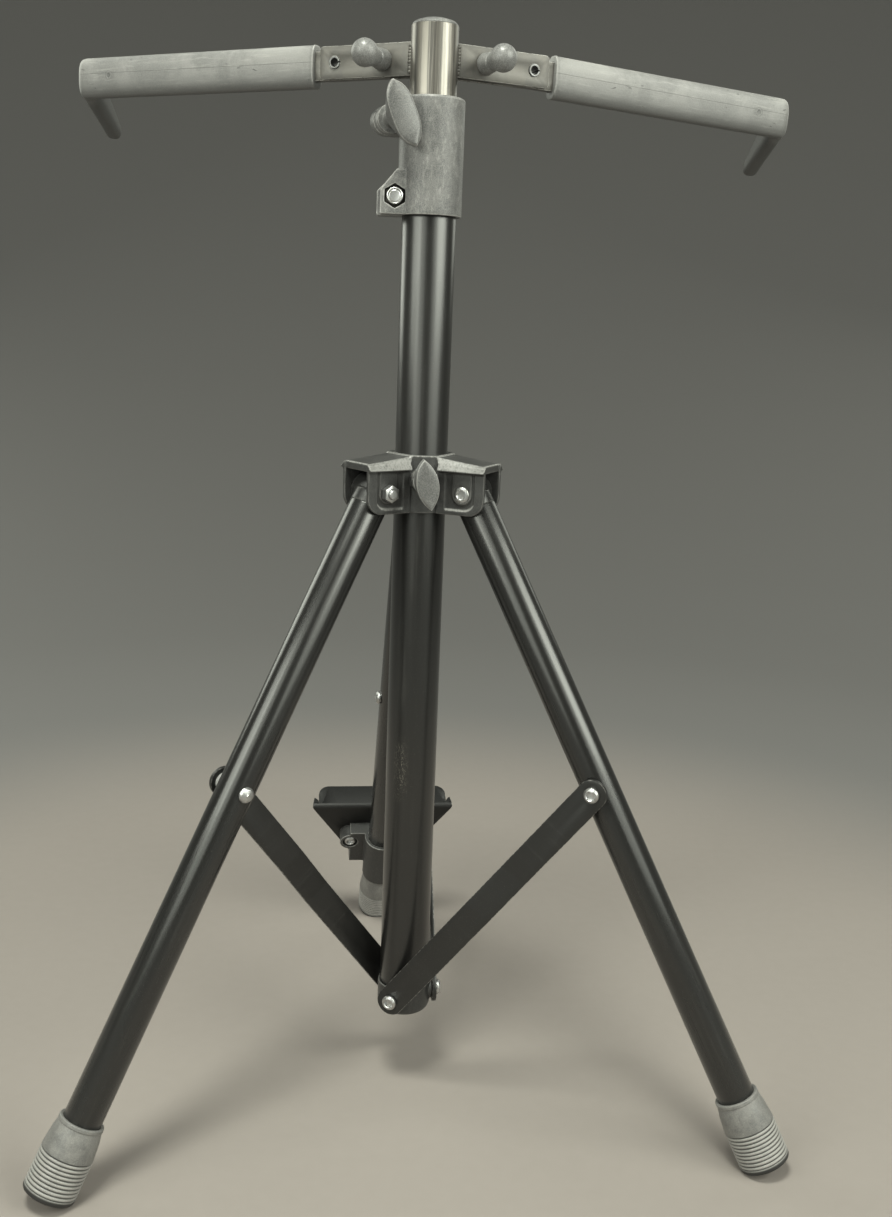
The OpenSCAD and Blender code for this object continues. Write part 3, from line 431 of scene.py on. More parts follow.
class Tree(Finish):
    """A Geometry Nodes tree being made, with named inputs for its sizes."""

    def __init__(self, name):
        self.tree = bpy.data.node_groups.new(name, "GeometryNodeTree")
        self.tree.interface.new_socket("Shape", in_out="INPUT", socket_type="NodeSocketGeometry")
        self.tree.interface.new_socket("Shape", in_out="OUTPUT", socket_type="NodeSocketGeometry")
        self.entry = self.tree.nodes.new("NodeGroupInput")
        self.exit = self.tree.nodes.new("NodeGroupOutput")

    def sizes(self, **values):
        """Named inputs, such as a count or a pitch."""
        for name, value in values.items():
            kind = "NodeSocket" + type(value).__name__.title()
            self.tree.interface.new_socket(name, in_out="INPUT", socket_type=kind).default_value = value
        return [Wire(self, self.entry.outputs[name]) for name in values]

    def shape(self):
        return Wire(self, self.entry.outputs["Shape"])

    def line(self, count, pitch, start):
        """Points in a row up Z."""
        start, offset = [self.add("ShaderNodeCombineXYZ", None, {"Z": z}) for z in (start, pitch)]
        return self.add("GeometryNodeMeshLine", None, {"Count": count, "Start Location": start, "Offset": offset})

    def end(self, shape, finish):
        """Real copies, in their finish."""
        real = self.add("GeometryNodeRealizeInstances", None, {0: shape})
        coated = self.add("GeometryNodeSetMaterial", None, {0: real, "Material": finish})
        self.put(self.exit.inputs[0], coated)


def grown(bm, tree, **sizes):
    """What a tree makes of a shape, as a plain shape again. Sizes go in by their sockets' own names."""

    def sprout(obj):
        modifier = obj.modifiers.new("grow", "NODES")
        modifier.node_group = tree
        for item in tree.interface.items_tree:
            if item.in_out == "INPUT" and item.name in sizes:
                modifier[item.identifier] = sizes[item.name]

    return evaluated(bm, sprout)


ring_of = Tree("copies_round_the_post")
copies, first = ring_of.sizes(Count=3, First=0.0)
spun = ring_of.add("ShaderNodeCombineXYZ", None, {"Z": first + ring_of.add("GeometryNodeInputIndex") * (tau / 3)})
points = ring_of.add("GeometryNodePoints", None, {"Count": copies})
set_round = ring_of.add("GeometryNodeInstanceOnPoints", None,
                        {"Points": points, "Instance": ring_of.shape(), "Rotation": spun})
ring_of.end(set_round, zinc_plate)


def zinc_piece(name, bm, place, body, node):
    piece(name, bm, place, body, zinc_plate, node)


def zinc_ring(name, bm, place, height, body, node):
    """Three of a bolt or nut, one for each leg."""
    three = grown(moved(bm, place), ring_of.tree, Count=3, First=radians(LEG_TURNS["right"]))
    zinc_piece(name, three, about_post(0, height), body, node)


def socket_bolt(head_r, head_h, shank_r, shank):
    """A bolt with a dished round head and a hexagon socket. Its head stands on z = 0 and looks up."""
    socket = 0.5 * head_r
    outside = [(0, -shank), (shank_r - 0.5, -shank), (shank_r, 0.5 - shank), (shank_r, 0), (head_r, 0, 0.3),
               (head_r, 0.62 * head_h, 1.0), (0.74 * head_r, head_h, 0.8), (0.55 * head_r + 0.35, head_h, 0.2)]
    return turned(eased(outside, 0.1)
                  + [(socket, head_h - 0.55, 6), (socket, 0.35 * head_h, 6), (0, 0.2 * head_h)])


STRUT_T, FACE_GAP = 3.0, 0.3
LOWER_SIDE = BOSS_SIDE + FACE_GAP
HEAD_SIDE = LOWER_SIDE + STRUT_T + FACE_GAP
bolt = socket_bolt(HEAD_R, HEAD_H, BOLT_R, HEAD_SIDE - BOLT_END)
zinc_ring("strut_foot_bolts", bolt, shift(0, -HEAD_SIDE) @ turn(90, "X"), STRUT_FOOT_Z, "post", "base_bolts")


# Height collar: the split clamp on the post's top, a thick glass-filled moulding. Its lower ear
# grips the outer tube with an M8 bolt and lock nut; its upper boss takes the clamp screw.
COLLAR_FOOT = 610.729
collar_nylon = nylon("collar_nylon", 0.125, 0.33, 0.00014, 0.7)
piece("clamp_collar", moulded(cad_copy("height_collar"), 0.52, 4), about_post(), "post",
      collar_nylon, "height_collar")

CLAMP_TURN, CLAMP_BOLT_X, CLAMP_BOLT_UP, EAR_FRONT = -6.04, 22.1, 11.2, 14.0
M8_R, M8_FLAT = 4.0, 6.5
clamp_bolt_place = (about_post(CLAMP_TURN, COLLAR_FOOT + CLAMP_BOLT_UP) @ shift(-CLAMP_BOLT_X)
                    @ turn(90, "X") @ turn(30, "Z"))
hex_bolt = turned(eased([(0, -20.5), (M8_R, -20.5), (M8_R, EAR_FRONT + 0.2), (3.2, EAR_FRONT + 0.7, 0),
                         (2.4, EAR_FRONT + 0.62, 0)], 0.2) + [(0, EAR_FRONT + 0.5)])
joined(hex_bolt, turned([(0, -19.4), (5.9, -19.4), (M8_FLAT, -19.1, 6), (M8_FLAT, -14.3, 6), (6.2, -14.1),
                         (0, -14.1)]))
zinc_piece("collar_clamp_bolt", hex_bolt, clamp_bolt_place, "post", "collar_bolt")

lock_nut = turned(eased([(4.05, 8.73), (6.2, 8.73, 0)], 0.2)
                  + [(M8_FLAT, 9.0, 6), (M8_FLAT, 10.6, 6), (6.1, 11.2, 6), (5.3, 11.4), (5.25, 14.0), (5.0, 14.7),
                     (4.6, 14.9), (4.4, 14.75), (4.3, 14.3), (4.05, 14.0)], closed=True)
# The lock nut's hexagon sits in the ear's pocket and gets painted shade; only the top of its crown stays bright.
piece("collar_lock_nut", lock_nut, clamp_bolt_place, "post",
      zinc("lock_nut_zinc", 0.8, 0.24, painted_shade_below=13.4), "collar_nut")
dress("height_nut", plain_zinc)


# Height clamp knob: a moulded wing on an M8 screw that runs across the collar and closes its
# upper clamp on the inner tube. The screw's end shows at the back, in its nut.
CLAMP_SCREW_TURN, CLAMP_SCREW_OUT, CLAMP_SCREW_UP = 289, 26.0, 58.4


def crowned(bm, length, width, tilt, lift, blunt=0.0):
    """Domes the face of a lens-shaped wing, which looks up its own Z, and blunts its two tips."""
    top = max(v.co.z for v in bm.verts)
    radius = (length ** 2 + width ** 2) / (4 * width)
    for v in bm.verts:
        along, across, _ = turn(-tilt, "Z") @ v.co
        reach = sqrt(max(0.01, radius ** 2 - along ** 2)) - (radius - width / 2)
        near_face = min(1, max(0, (v.co.z - top + 6) / 6))
        if reach > 0.2:
            v.co.z += lift * max(0, 1 - (across / reach) ** 2) * near_face
        out = min(1, abs(2 * along / length)) ** 2 * near_face
        along *= 1 - 0.07 * blunt * out
        across *= 1 + blunt * (0.05 * near_face + out)
        v.co.x, v.co.y, _ = turn(tilt, "Z") @ Vector((along, across, 0))
    return bm


knob_nylon = nylon("knob_nylon", 0.12, 0.3, 0.00003, 0.4)
screw_place = (about_post(CLAMP_TURN + CLAMP_SCREW_TURN, COLLAR_FOOT + CLAMP_SCREW_UP)
               @ shift(0, -CLAMP_SCREW_OUT) @ turn(90, "Y"))


def wing_knob(which, place, **form):
    """A moulded wing, and the screw in it."""
    wing = crowned(moulded(cad_copy(f"{which}_knob", place), 0.36, 8), **form)
    piece(f"{which}_wing_knob", wing, place, f"{which}_knob", knob_nylon, f"{which}_knob")
    dress(f"{which}_screw", plain_zinc)


wing_knob("height", screw_place, length=43.5, width=16.5, tilt=24, lift=2.0, blunt=0.7)


# Mast: the 30 mm inner tube slides and turns in the post on a thin nylon bush, and is closed at
# the top by a domed cap that is pushed in.
MAST_R, MAST_FOOT, MAST_TOP = 15.0, 295.429, 725.429


def drawn_coat(name, level):
    """Thin satin coat over drawn steel, polished in long streaks by the clamp that slides on it."""
    coat = Finish(name)
    spot = coat.own()
    streak = coat.noise(spot, 0.42, 4, 0.65, up=0.008)
    fine = coat.noise(spot, 1.6, 3, 0.6, up=0.02)
    cloud = coat.noise(spot, 0.06, 3, up=0.3)
    fleck = coat.noise(spot, 1.9, 1).between(0.7, 0.78)
    colour = coat.mix(streak.between(0.36, 0.62), grey(level * 0.55, 0.05), grey(level * 1.3, 0.07))
    colour = coat.over(colour, (fine.between(0.5, 0.7) * 0.4, grey(level * 1.9, 0.06)),
                       (fleck * 0.4, grey(0.3, 0.04)))
    return coat.done(Base_Color=colour, Metallic=0.7, Roughness=0.22 + streak * 0.12 + cloud * 0.06,
                     Normal=coat.bump(streak + fine * 0.4, 0.00003))


piece("mast_tube", pipe(MAST_R, MAST_R - TUBE_WALL, MAST_FOOT, MAST_TOP), about_post(), "mast",
      drawn_coat("mast_coat", 0.17), "inner_tube")
top_button = turned(eased([(0, -14), (13.4, -14, 0.6), (13.4, 0.1), (14.5, 0.1, 0.1), (14.4, 0.9, 0.5),
                           (13.0, 2.3, 2.0), (8.0, 4.0, 8), (0, 4.5)], 0.3, steps=5))
piece("mast_button", top_button, about_post(0, MAST_TOP), "mast", collar_nylon, "top_cap")
pale_resin = inner_nylon("pale_resin", 0.5)
dress("guide_bush", pale_resin)


# Brackets: on each side two plates of 2 mm steel, welded to the mast and burnished dark. Between
# them the arm's flat bar turns on a slotted spring pin.
ARMS = ("left", "right")
PLATE_IN, PLATE_T, PLATE_END, PLATE_H, WELD_R, BRACKET_Z = 3.3, 2.0, 79.8, 20.1, 15.05, 706.229
HEAD_TURN, ARM_SWEEP, PIN_AT, PIN_R, PLUNGER_AT, PLUNGER_R = -6.76, 24.8, 68.8, 4.0, 34.0, 3.0
arm_head = about_post(HEAD_TURN, BRACKET_Z)


def arc(x, r, start, end, steps):
    return [(x + r * cos(t), r * sin(t)) for t in [start + (end - start) * i / steps for i in range(steps + 1)]]


def circle(x, y, r, steps=32):
    return [(x + r * cos(tau * i / steps), y + r * sin(tau * i / steps)) for i in range(steps)]


def slab(outline, holes, thick, edge=0.3, cuts=()):
    """A plate cut to an outline with holes, its edges broken. It stands on z = 0. The broken edges are
    marked, because paint wears off them first. Cuts are lines across x where it will bend."""
    bm = bmesh.new()
    mark = bm.faces.layers.float.new("edge")
    for loop in [outline, *holes]:
        verts = [bm.verts.new((x, y, 0)) for x, y in loop]
        for a, b in zip(verts, verts[1:] + verts[:1]):
            bm.edges.new((a, b))
    bmesh.ops.triangle_fill(bm, use_beauty=True, edges=bm.edges[:])
    for cut in cuts:
        whole = bm.verts[:] + bm.edges[:] + bm.faces[:]
        bmesh.ops.bisect_plane(bm, geom=whole, plane_co=(cut, 0, 0), plane_no=(1, 0, 0))
    lifted = bmesh.ops.extrude_face_region(bm, geom=bm.faces[:], use_keep_orig=True)["geom"]
    bmesh.ops.translate(bm, verts=[g for g in lifted if isinstance(g, bmesh.types.BMVert)], vec=(0, 0, thick))
    rims = [e for e in outward(bm).edges if len(e.link_faces) == 2 and e.calc_face_angle() > 0.9]
    broken = bmesh.ops.bevel(bm, geom=rims, offset=edge, segments=2, profile=0.5, affect="EDGES")
    for face in broken["faces"]:
        face[mark] = 1
    return bm


def burnished(name, level):
    """Steel blackened and burnished: a warm dark sheen, rolled grain, blotches, bright rubbed edges."""
    steel = Finish(name)
    spot = steel.own()
    rolled = steel.noise(steel.stretched(spot, 0.06, 1, 1), 1.3, 3, 0.6)
    blotch = steel.noise(spot, 0.11, 5, 0.62, 0.5)
    fleck = steel.noise(spot, 1.7, 2).between(0.62, 0.75)
    bare = steel.edge() * steel.noise(spot, 0.35, 3).between(0.3, 0.52)
    colour = steel.mix(blotch.between(0.3, 0.7), grey(level * 0.88, 0.04), grey(level * 1.16, 0.06))
    colour = steel.over(colour, (fleck * 0.25, grey(min(0.4, level * 2.5), 0.05)),
                        (bare * 0.75, grey(min(0.5, level * 4), 0.03)))
    roughness = rolled * 0.14 + blotch * 0.1 + 0.32 - bare * 0.08
    return steel.done(Base_Color=colour, Metallic=0.3, Roughness=roughness,
                      Normal=steel.bump(rolled + fleck, 0.000015))


bronze_black = burnished("bronze_black_steel", 0.1)
bead = Tree("weld_beads")
BEADS = {"Count": 9, "Pitch": 1.95, "Size": 1.5, "Seed": 3}
count, pitch, size, seed = bead.sizes(**BEADS)
seam = bead.line(count, pitch, -8)
uneven = bead.add("FunctionNodeRandomValue", {"data_type": "FLOAT"}, {2: 0.8, 3: 1.2, "Seed": seed}, out=1)
drop = bead.add("GeometryNodeMeshUVSphere", None, {"Segments": 14, "Rings": 8, "Radius": size})
laid = bead.add("GeometryNodeInstanceOnPoints", None, {"Points": seam, "Instance": drop, "Scale": uneven})
bead.end(laid, burnished("scorched_weld", 0.05))


def swept(side):
    """From the middle of the arm head out along an arm. The left arm is the right one's mirror image."""
    return (Matrix.Scale(-1, 4, (1, 0, 0)) if side == "left" else Matrix()) @ turn(ARM_SWEEP, "Z")


plate_start = sqrt(WELD_R ** 2 - (PLATE_IN + PLATE_T) ** 2) - 0.4
plate = eased([(plate_start, -PLATE_H / 2, 0), (PLATE_END, -PLATE_H / 2), (PLATE_END, PLATE_H / 2),
               (plate_start, PLATE_H / 2, 0)], 2.5, closed=True)
for side in ARMS:
    bracket = bmesh.new()
    for front in (True, False):
        holes = [circle(PIN_AT, 0, PIN_R + 0.05)] + ([circle(PLUNGER_AT, 0, PLUNGER_R + 0.1)] if front else [])
        at = -PLATE_IN if front else PLATE_IN + PLATE_T
        joined(bracket, slab(plate, holes, PLATE_T), shift(0, at) @ turn(90, "X"))
        seeded = BEADS | {"Seed": 5 + front + 2 * len(side)}
        weld = grown(turned([(0, 0), (0.1, 0), (0, 0.1)], 12), bead.tree, **seeded)
        toe = PLATE_IN + PLATE_T + 0.2
        joined(bracket, weld, shift(plate_start + 0.5, -toe if front else toe))
    piece(f"{side}_bracket_plates", bracket, arm_head @ swept(side), "mast", bronze_black,
          f"{side}_bracket")

PIN_LEN, PIN_GAP, PIN_BORE = 12, 0.1, 2.6
pins = bmesh.new()
for side in ARMS:
    start = (pi if side == "left" else 0) + PIN_GAP
    end = start + tau - 2 * PIN_GAP
    roll = slab(arc(0, PIN_R, start, end, 40) + arc(0, PIN_BORE, end, start, 40), [], PIN_LEN, 0.25)
    joined(pins, roll, swept(side) @ shift(PIN_AT, PIN_LEN / 2) @ turn(90, "X"))
piece("arm_roll_pins", pins, arm_head, "mast", zinc("spring_steel", 0.2, 0.34), "roll_pins")


# Arm locks: on each side a sprung steel plunger in a barrel on the front plate, pulled by a ball
# knob that is moulded on its end with a slim neck.
BARREL_END, BALL_OUT, BALL_R = 16.0, 29.0, 8.5
ball_nylon = nylon("ball_nylon", 0.17, 0.3, 0.00002, 0.3)
barrels = bmesh.new()
for side in ARMS:
    barrel = turned(eased([
        (3.1, 0), (6.8, 0, 0.3), (6.6, 2.0, 2), (5.9, BARREL_END - 6.3), (5.3, BARREL_END - 5.3, 0.8),
        (3.1, BARREL_END - 5.3, 0.2)], 0.2, closed=True), closed=True)
    joined(barrels, barrel, swept(side) @ shift(PLUNGER_AT, -(PLATE_IN + PLATE_T)) @ turn(90, "X"))
piece("lock_barrels", barrels, arm_head, "mast", ball_nylon, "plunger_barrels")
for side in ARMS:
    neck = [(3.05, BARREL_END + 0.3), (5.6, BARREL_END + 0.3, 0.4), (5.7, BARREL_END + 2.0, 2),
            (6.2, BARREL_END + 4.2, 3)]
    ball = [(BALL_R * cos(t), BALL_OUT + BALL_R * sin(t)) for t in [radians(d) for d in range(-42, 90, 6)]]
    knob = turned([(0, BALL_OUT), (3.05, BALL_OUT)] + eased(neck + [ball[0]], 1.0) + ball[1:]
                  + [(0, BALL_OUT + BALL_R)])
    piece(f"{side}_ball_grip", knob, arm_head @ swept(side) @ shift(PLUNGER_AT) @ turn(90, "X"), f"{side}_plunger",
          ball_nylon, f"{side}_ball_knob")
    dress(f"{side}_plunger", plain_zinc)


# Arms: a flat steel bar of 18 by 6 mm that turns on its spring pin, and a grey elastomer grip
# moulded over its outer end, with a raised lip, a parting line, a gate mark and a finger that
# bends back round the instrument and droops to a rounded tip.
BAR_T, BAR_H, BAR_TAIL, ARM_DROP = 6.0, 18.0, 42.0, 1.4
GRIP_START, GRIP_T, GRIP_H, CORNER_AT, CORNER_R, GATE_AT = 84.5, 12.6, 27.0, 274.3, 4.0, 250.0
FINGER_LEN, FINGER_BEND, FINGER_DROOP, FINGER_TIP = 58.5, 75.0, 32.0, 6.0
DROOP = {"left": 0.0, "right": 2.25}


def grip_skin(name, level):
    """Grey elastomer: fine moulded grain, long scuffs, dark nicks, a powdery bloom where hands rub, and
    painted shade: darker towards its underside and darker still on its finger."""
    skin = Finish(name)
    spot = skin.own()
    grain = skin.noise(spot, 1.5, 3, 0.6)
    scuff = skin.noise(skin.stretched(spot, 0.1, 1, 1), 0.55, 4, 0.65)
    bloom = skin.noise(spot, 0.03, 4, 0.6, 0.6)
    along, deep, height = skin.xyz(spot)
    finger = deep.between(3, 12)
    # Rises from the grip's underside to its top, and is off on the finger: where hands rub, and where the painted
    # shade leaves the grip bright.
    handled_and_lit = height.between(-15, 13) * (1 - finger)
    off_gate = (along - GATE_AT) * (along - GATE_AT) + (height - 0.4) * (height - 0.4)
    gate = (1 - off_gate.between(1.2, 3.0)) + (1 - off_gate.between(9.0, 11.0)) * off_gate.between(6.0, 8.0) * 0.4
    seam = 1 - abs(height - 2.0).between(0.1, 0.4)
    nick = skin.noise(skin.stretched(spot, 0.5, 1, 1.4), 0.33, 2, 0.5, 1.2).between(0.7, 0.76)
    rub = skin.edge() * skin.noise(spot, 0.2, 3).between(0.3, 0.6)
    colour = skin.mix(grain.between(0.3, 0.7), grey(level * 0.85, 0.01), grey(level * 1.12, 0.01))
    scuffed = scuff.between(0.5, 0.75) * (0.12 + handled_and_lit * 0.45)
    # Painted shade: darker towards the underside and darker still on the finger; scuffs and bloom keep to the
    # upper, handled band.
    colour = skin.over(
        colour, ((1 - handled_and_lit) * 0.6, grey(level * 0.42, 0.01)), (scuffed, grey(level * 1.7, 0.02)),
        (bloom.between(0.4, 0.65) * handled_and_lit * 0.45, grey(level * 2, 0.02)), (finger * 0.5, grey(level * 0.15)),
        (nick * 0.7, grey(level * 0.3)), (seam * 0.22 + gate * 0.5, grey(level * 0.3)),
        (rub * 0.4, grey(level * 2.3, 0.02)))
    return skin.done(Base_Color=colour, Roughness=scuff * 0.12 + bloom * 0.1 + 0.36,
                     Normal=skin.bump(grain - nick * 3 - seam - gate * 4, 0.00006))


def grip_section(thick, tall, steps=32):
    """The grip's section: crowned faces and full corners."""
    turns = [tau * (i + 0.5) / steps for i in range(steps)]
    return [(thick / 2 * np.sign(cos(t)) * abs(cos(t)) ** 0.7, tall / 2 * np.sign(sin(t)) * abs(sin(t)) ** 0.66)
            for t in turns]


def grip_form():
    """The grip swept as one bar: straight along the arm, round the corner and down the finger."""
    lead = CORNER_R * np.tan(radians(FINGER_BEND / 2))
    reach = FINGER_LEN - FINGER_TIP
    fall, run = reach * sin(radians(FINGER_DROOP)), reach * cos(radians(FINGER_DROOP))
    stops = [(x, 0, 0, 0, 1, GRIP_H) for x in np.linspace(GRIP_START, CORNER_AT - lead, 12)]
    for i in range(1, 9):
        t = radians(FINGER_BEND * i / 8)
        stops.append((CORNER_AT - lead + CORNER_R * sin(t), CORNER_R * (1 - cos(t)), t, 0, 1, GRIP_H))
    t = radians(FINGER_BEND)
    for i in range(1, 13):
        s = i / 12
        low = -GRIP_H / 2 * (1 - s) + (-fall - FINGER_TIP) * s
        high = GRIP_H / 2 * (1 - s) + (-fall + FINGER_TIP) * s + 3.4 * sin(pi * s) * (1 - 0.4 * s)
        out = lead + (run - lead) * s
        stops.append((CORNER_AT + out * cos(t), out * sin(t), t, (high + low) / 2, 1 - 0.06 * s, high - low))
    for i in range(1, 7):
        k = radians(88 * i / 6)
        out = run + FINGER_TIP * sin(k) * 0.9
        stops.append((CORNER_AT + out * cos(t), out * sin(t), t, -fall - 2.4 * sin(k), 0.94 * cos(k),
                      2 * FINGER_TIP * cos(k)))
    bm = bmesh.new()
    rings = []
    for x, y0, t, mid, wide, tall in stops:
        section = grip_section(GRIP_T * wide, tall)
        rings.append([bm.verts.new((x - y * sin(t), y0 + y * cos(t), mid + z)) for y, z in section])
    for a, b in zip(rings, rings[1:]):
        for i in range(len(a)):
            bm.faces.new((a[i], a[i - 1], b[i - 1], b[i]))
    bm.faces.new(rings[0])
    bm.faces.new(rings[-1])
    return outward(bm)


grip_rubber = grip_skin("grip_rubber", 0.18)
LIP_OUT, LIP_UP, LIP_T, SLEEVE_HALF_T, SLEEVE_HALF_H = 0.9, 0.7, 1.6, 3.2, 9.2
bar_outline = arc(PIN_AT - BAR_TAIL + BAR_H / 2, BAR_H / 2, pi / 2, 1.5 * pi, 20)
bar_outline += [(GRIP_START + 40, -BAR_H / 2), (GRIP_START + 40, BAR_H / 2)]
bar_holes = [circle(PIN_AT, ARM_DROP, PIN_R + 0.1), circle(PLUNGER_AT, ARM_DROP, PLUNGER_R + 0.1)]
for side in ARMS:
    arm = arm_head @ swept(side) @ shift(PIN_AT) @ turn(DROOP[side], "Y") @ shift(-PIN_AT, 0, -ARM_DROP)
    bar = slab(bar_outline, bar_holes, BAR_T, 0.4)
    piece(f"{side}_flat_bar", bar, arm @ shift(0, BAR_T / 2) @ turn(90, "X"), f"{side}_arm",
          bronze_black, f"{side}_arm_bar")
    grip = grip_form()
    hole = [(u * SLEEVE_HALF_T, v * SLEEVE_HALF_H) for u, v in ((-1, -1), (1, -1), (1, 1), (-1, 1))]
    lip = slab(grip_section(GRIP_T + LIP_OUT, GRIP_H + LIP_UP, 48), [hole], LIP_T, 0.5)
    joined(grip, lip, shift(GRIP_START) @ turn(90, "Y") @ turn(90, "Z"))
    piece(f"{side}_grip_cover", moulded(grip, 0.7, 3, 0.6), arm, f"{side}_arm", grip_rubber,
          f"{side}_grip")


# Hub: a moulded slider on the post with three pairs of cheeks, a sloping roof over each leg's
# head and a U-shaped boss round each leg bolt. A wing screw with a brass insert clamps it.
LEG_BOLT_R, LEG_BOLT_Z, LEG_SLANT, CHEEK_SIDE = 36.5, 435.215, 28.37, 15.4
HUB_FOOT, SLEEVE_H, ROOF_IN, ROOF_OUT, ROOF_HALF = 421.315, 37.6, 19.5, 52.3, 19
RIDGE_H, RIDGE_FALL, RIDGE_SIDE, EAVE_SIDE, EAVE_H = 36.9, 4.0, 13.2, 18.4, 29.2
EAVE_TOPS, EAVE_LIP = ((ROOF_IN, 36.6), (ROOF_OUT, 32.6)), ((EAVE_SIDE, 29.4), (EAVE_SIDE, 28.4), (14.6, 27.8))
hub = cad_copy("hub_body")
for v in hub.verts:
    # The sleeve ends just above the roofs
    v.co.z = min(v.co.z, HUB_FOOT + SLEEVE_H + 0.1 * (v.co.z - HUB_FOOT - SLEEVE_H))
for angle in LEG_TURNS.values():
    for s in (-1, 1):
        # The roof's eave over a cheek: it slopes out and down, and falls away from the sleeve
        eave = bmesh.new()
        ends = [[eave.verts.new((x, s * y, z)) for y, z in ((RIDGE_SIDE, top), *EAVE_LIP)] for x, top in EAVE_TOPS]
        for i in range(4):
            eave.faces.new((ends[0][i - 1], ends[0][i], ends[1][i], ends[1][i - 1]))
        for end in ends:
            eave.faces.new(end)
        joined(hub, outward(eave), turn(angle, "Z") @ shift(0, 0, HUB_FOOT))
hub = moulded(hub, 0.6, 3)
rub_and_sheen = hub.verts.layers.float["edge"]
for angle in LEG_TURNS.values():
    for v in hub.verts:
        x, y, z = turn(-angle, "Z") @ v.co
        if ROOF_IN - 1 < x < ROOF_OUT + 1 and abs(y) < ROOF_HALF:
            top = RIDGE_H - RIDGE_FALL * (x - ROOF_IN) / (ROOF_OUT - ROOF_IN)
            slope = (top - EAVE_H) / (EAVE_SIDE - RIDGE_SIDE)
            v.co.z = min(z, HUB_FOOT + top - max(0, abs(y) - RIDGE_SIDE) * slope)
hub.normal_update()
# Painted highlight: faces tilted partly upwards, such as the eaves' fronts and bevels, are marked pale as if lit
# from above; flat tops and sides get less, and the rubbed-edge wear keeps under half its weight.
for v in hub.verts:
    v[rub_and_sheen] = min(1, 0.4 * v[rub_and_sheen] + 4.8 * max(0, v.normal.z - 0.15) * (1 - v.normal.z))
# The hub's pale edge colour is set high for that painted highlight.
hub_nylon = nylon("hub_nylon", 0.035, 0.4, 0.00006, 0.4, chalk_and_sheen=0.24)
piece("leg_hub", hub, about_post(), "hub", hub_nylon, "hub_body")


def hex_nut(flats, edge, crown, bore):
    """An M6 nut on z = 0, by the heights that its flats, top edge, crown and bore reach."""
    return turned([(3.05, 0), (4.7, 0), (5, 0.25, 6), (5, flats, 6), (4.6, edge), (3.6, crown), (3.05, bore)],
                  closed=True)


zinc_ring("leg_pivot_bolts", socket_bolt(HEAD_R, 1.9, BOLT_R, 2 * CHEEK_SIDE + 6),
          shift(LEG_BOLT_R, 0.85 - CHEEK_SIDE) @ turn(90, "X"), LEG_BOLT_Z, "hub", "leg_bolts")
zinc_ring("leg_pivot_nuts", hex_nut(4.4, 4.75, 4.9, 4.6),
          shift(LEG_BOLT_R, CHEEK_SIDE + 0.1) @ turn(-90, "X") @ turn(30, "Z"), LEG_BOLT_Z, "hub", "leg_nuts")
dress("hub_pad", pale_resin)


def brass(name):
    """Turned brass, a little tarnished."""
    metal = Finish(name)
    stain = metal.noise(metal.metres(), 300, 3)
    return metal.done(Base_Color=metal.mix(stain, (0.62, 0.42, 0.13, 1), (0.4, 0.25, 0.08, 1)), Metallic=1.0,
                      Roughness=stain * 0.2 + 0.25)


dress("hub_insert", brass("tarnished_brass"))
HUB_SCREW_Z = 442.915
wing_knob("hub", about_post(-90, HUB_SCREW_Z) @ turn(90, "Y"), length=33, width=14.7, tilt=10, lift=1.6)


# Legs: 25 mm steel tubes, powder coated, on a moulded knuckle that turns between the hub's cheeks.
# A barrel nut through each tube takes the strut's bolt.
LEG_LEN, LEG_R, TUBE_TOP, STRUT_DOWN, FOOT_FLOOR = 486.5, 12.5, 11.5, 213.4, 6.5


def along_leg(side):
    """A place on a leg: -Z runs down the leg from its hub bolt, +X points away from the post."""
    return about_post(LEG_TURNS[side]) @ shift(LEG_BOLT_R, 0, LEG_BOLT_Z) @ turn(-LEG_SLANT, "Y")


knuckle_nylon = nylon("knuckle_nylon", 0.02, 0.24, 0.00002, 0.3)
leg_tube = powder_coat("leg_tube_coat", 0.011, 0.23)
for side in LEG_TURNS:
    piece(f"{side}_leg_pipe", pipe(LEG_R, LEG_R - TUBE_WALL, FOOT_FLOOR - LEG_LEN, -TUBE_TOP), along_leg(side),
          f"{side}_leg", leg_tube, f"{side}_leg_tube")
    piece(f"{side}_leg_knuckle_joint", moulded(cad_copy(f"{side}_leg_knuckle"), 0.7, 3), about_post(),
          f"{side}_leg", knuckle_nylon, f"{side}_leg_knuckle")
    barrel = turned(eased([
        (0, -12.1), (4.0, -12.1), (4.0, 12.7, 0), (HEAD_R, 12.7, 0.3), (HEAD_R, 13.6, 0.8), (4.1, 15.3, 1.4),
        (1.6, 15.9, 0.4), (1.2, 16.0, 0.2), (0.9, 16.4, 0.2)], 0.4) + [(0, 16.5)])
    zinc_piece(f"{side}_barrel_nut", barrel, along_leg(side) @ shift(0, 0, -STRUT_DOWN) @ turn(-90, "X"),
               f"{side}_leg", f"{side}_strut_nut")


# Feet: ribbed rubber ferrules pushed on the legs. A plain ring at the top, a smooth cone, nine
# round ribs that grip the floor, and a flat worn where the foot stands.
FOOT_H, FOOT_R, FOOT_RING_R = 48.1, 17.3, 14.5
RIBS, RIBS_TOP = {"Count": 9, "Pitch": 2.6, "Lowest": 4.0, "Ring": FOOT_R - 1.3, "Bead": 1.2}, 26.4
rubber = Finish("foot_rubber")
spot = rubber.own()
dusty = rubber.noise(spot, 0.12, 5, 0.6, 0.3)
speck = rubber.noise(spot, 1.4, 3, 0.6)
smear = rubber.noise(spot, 0.4, 4, 0.6, up=0.15)
ash = dusty.between(0.35, 0.62) * (smear * 0.7 + 0.45)
across, deep, height = rubber.xyz(spot)
girth, ribbed = across * across + deep * deep, (RIBS_TOP - height).between(0, 0.5)
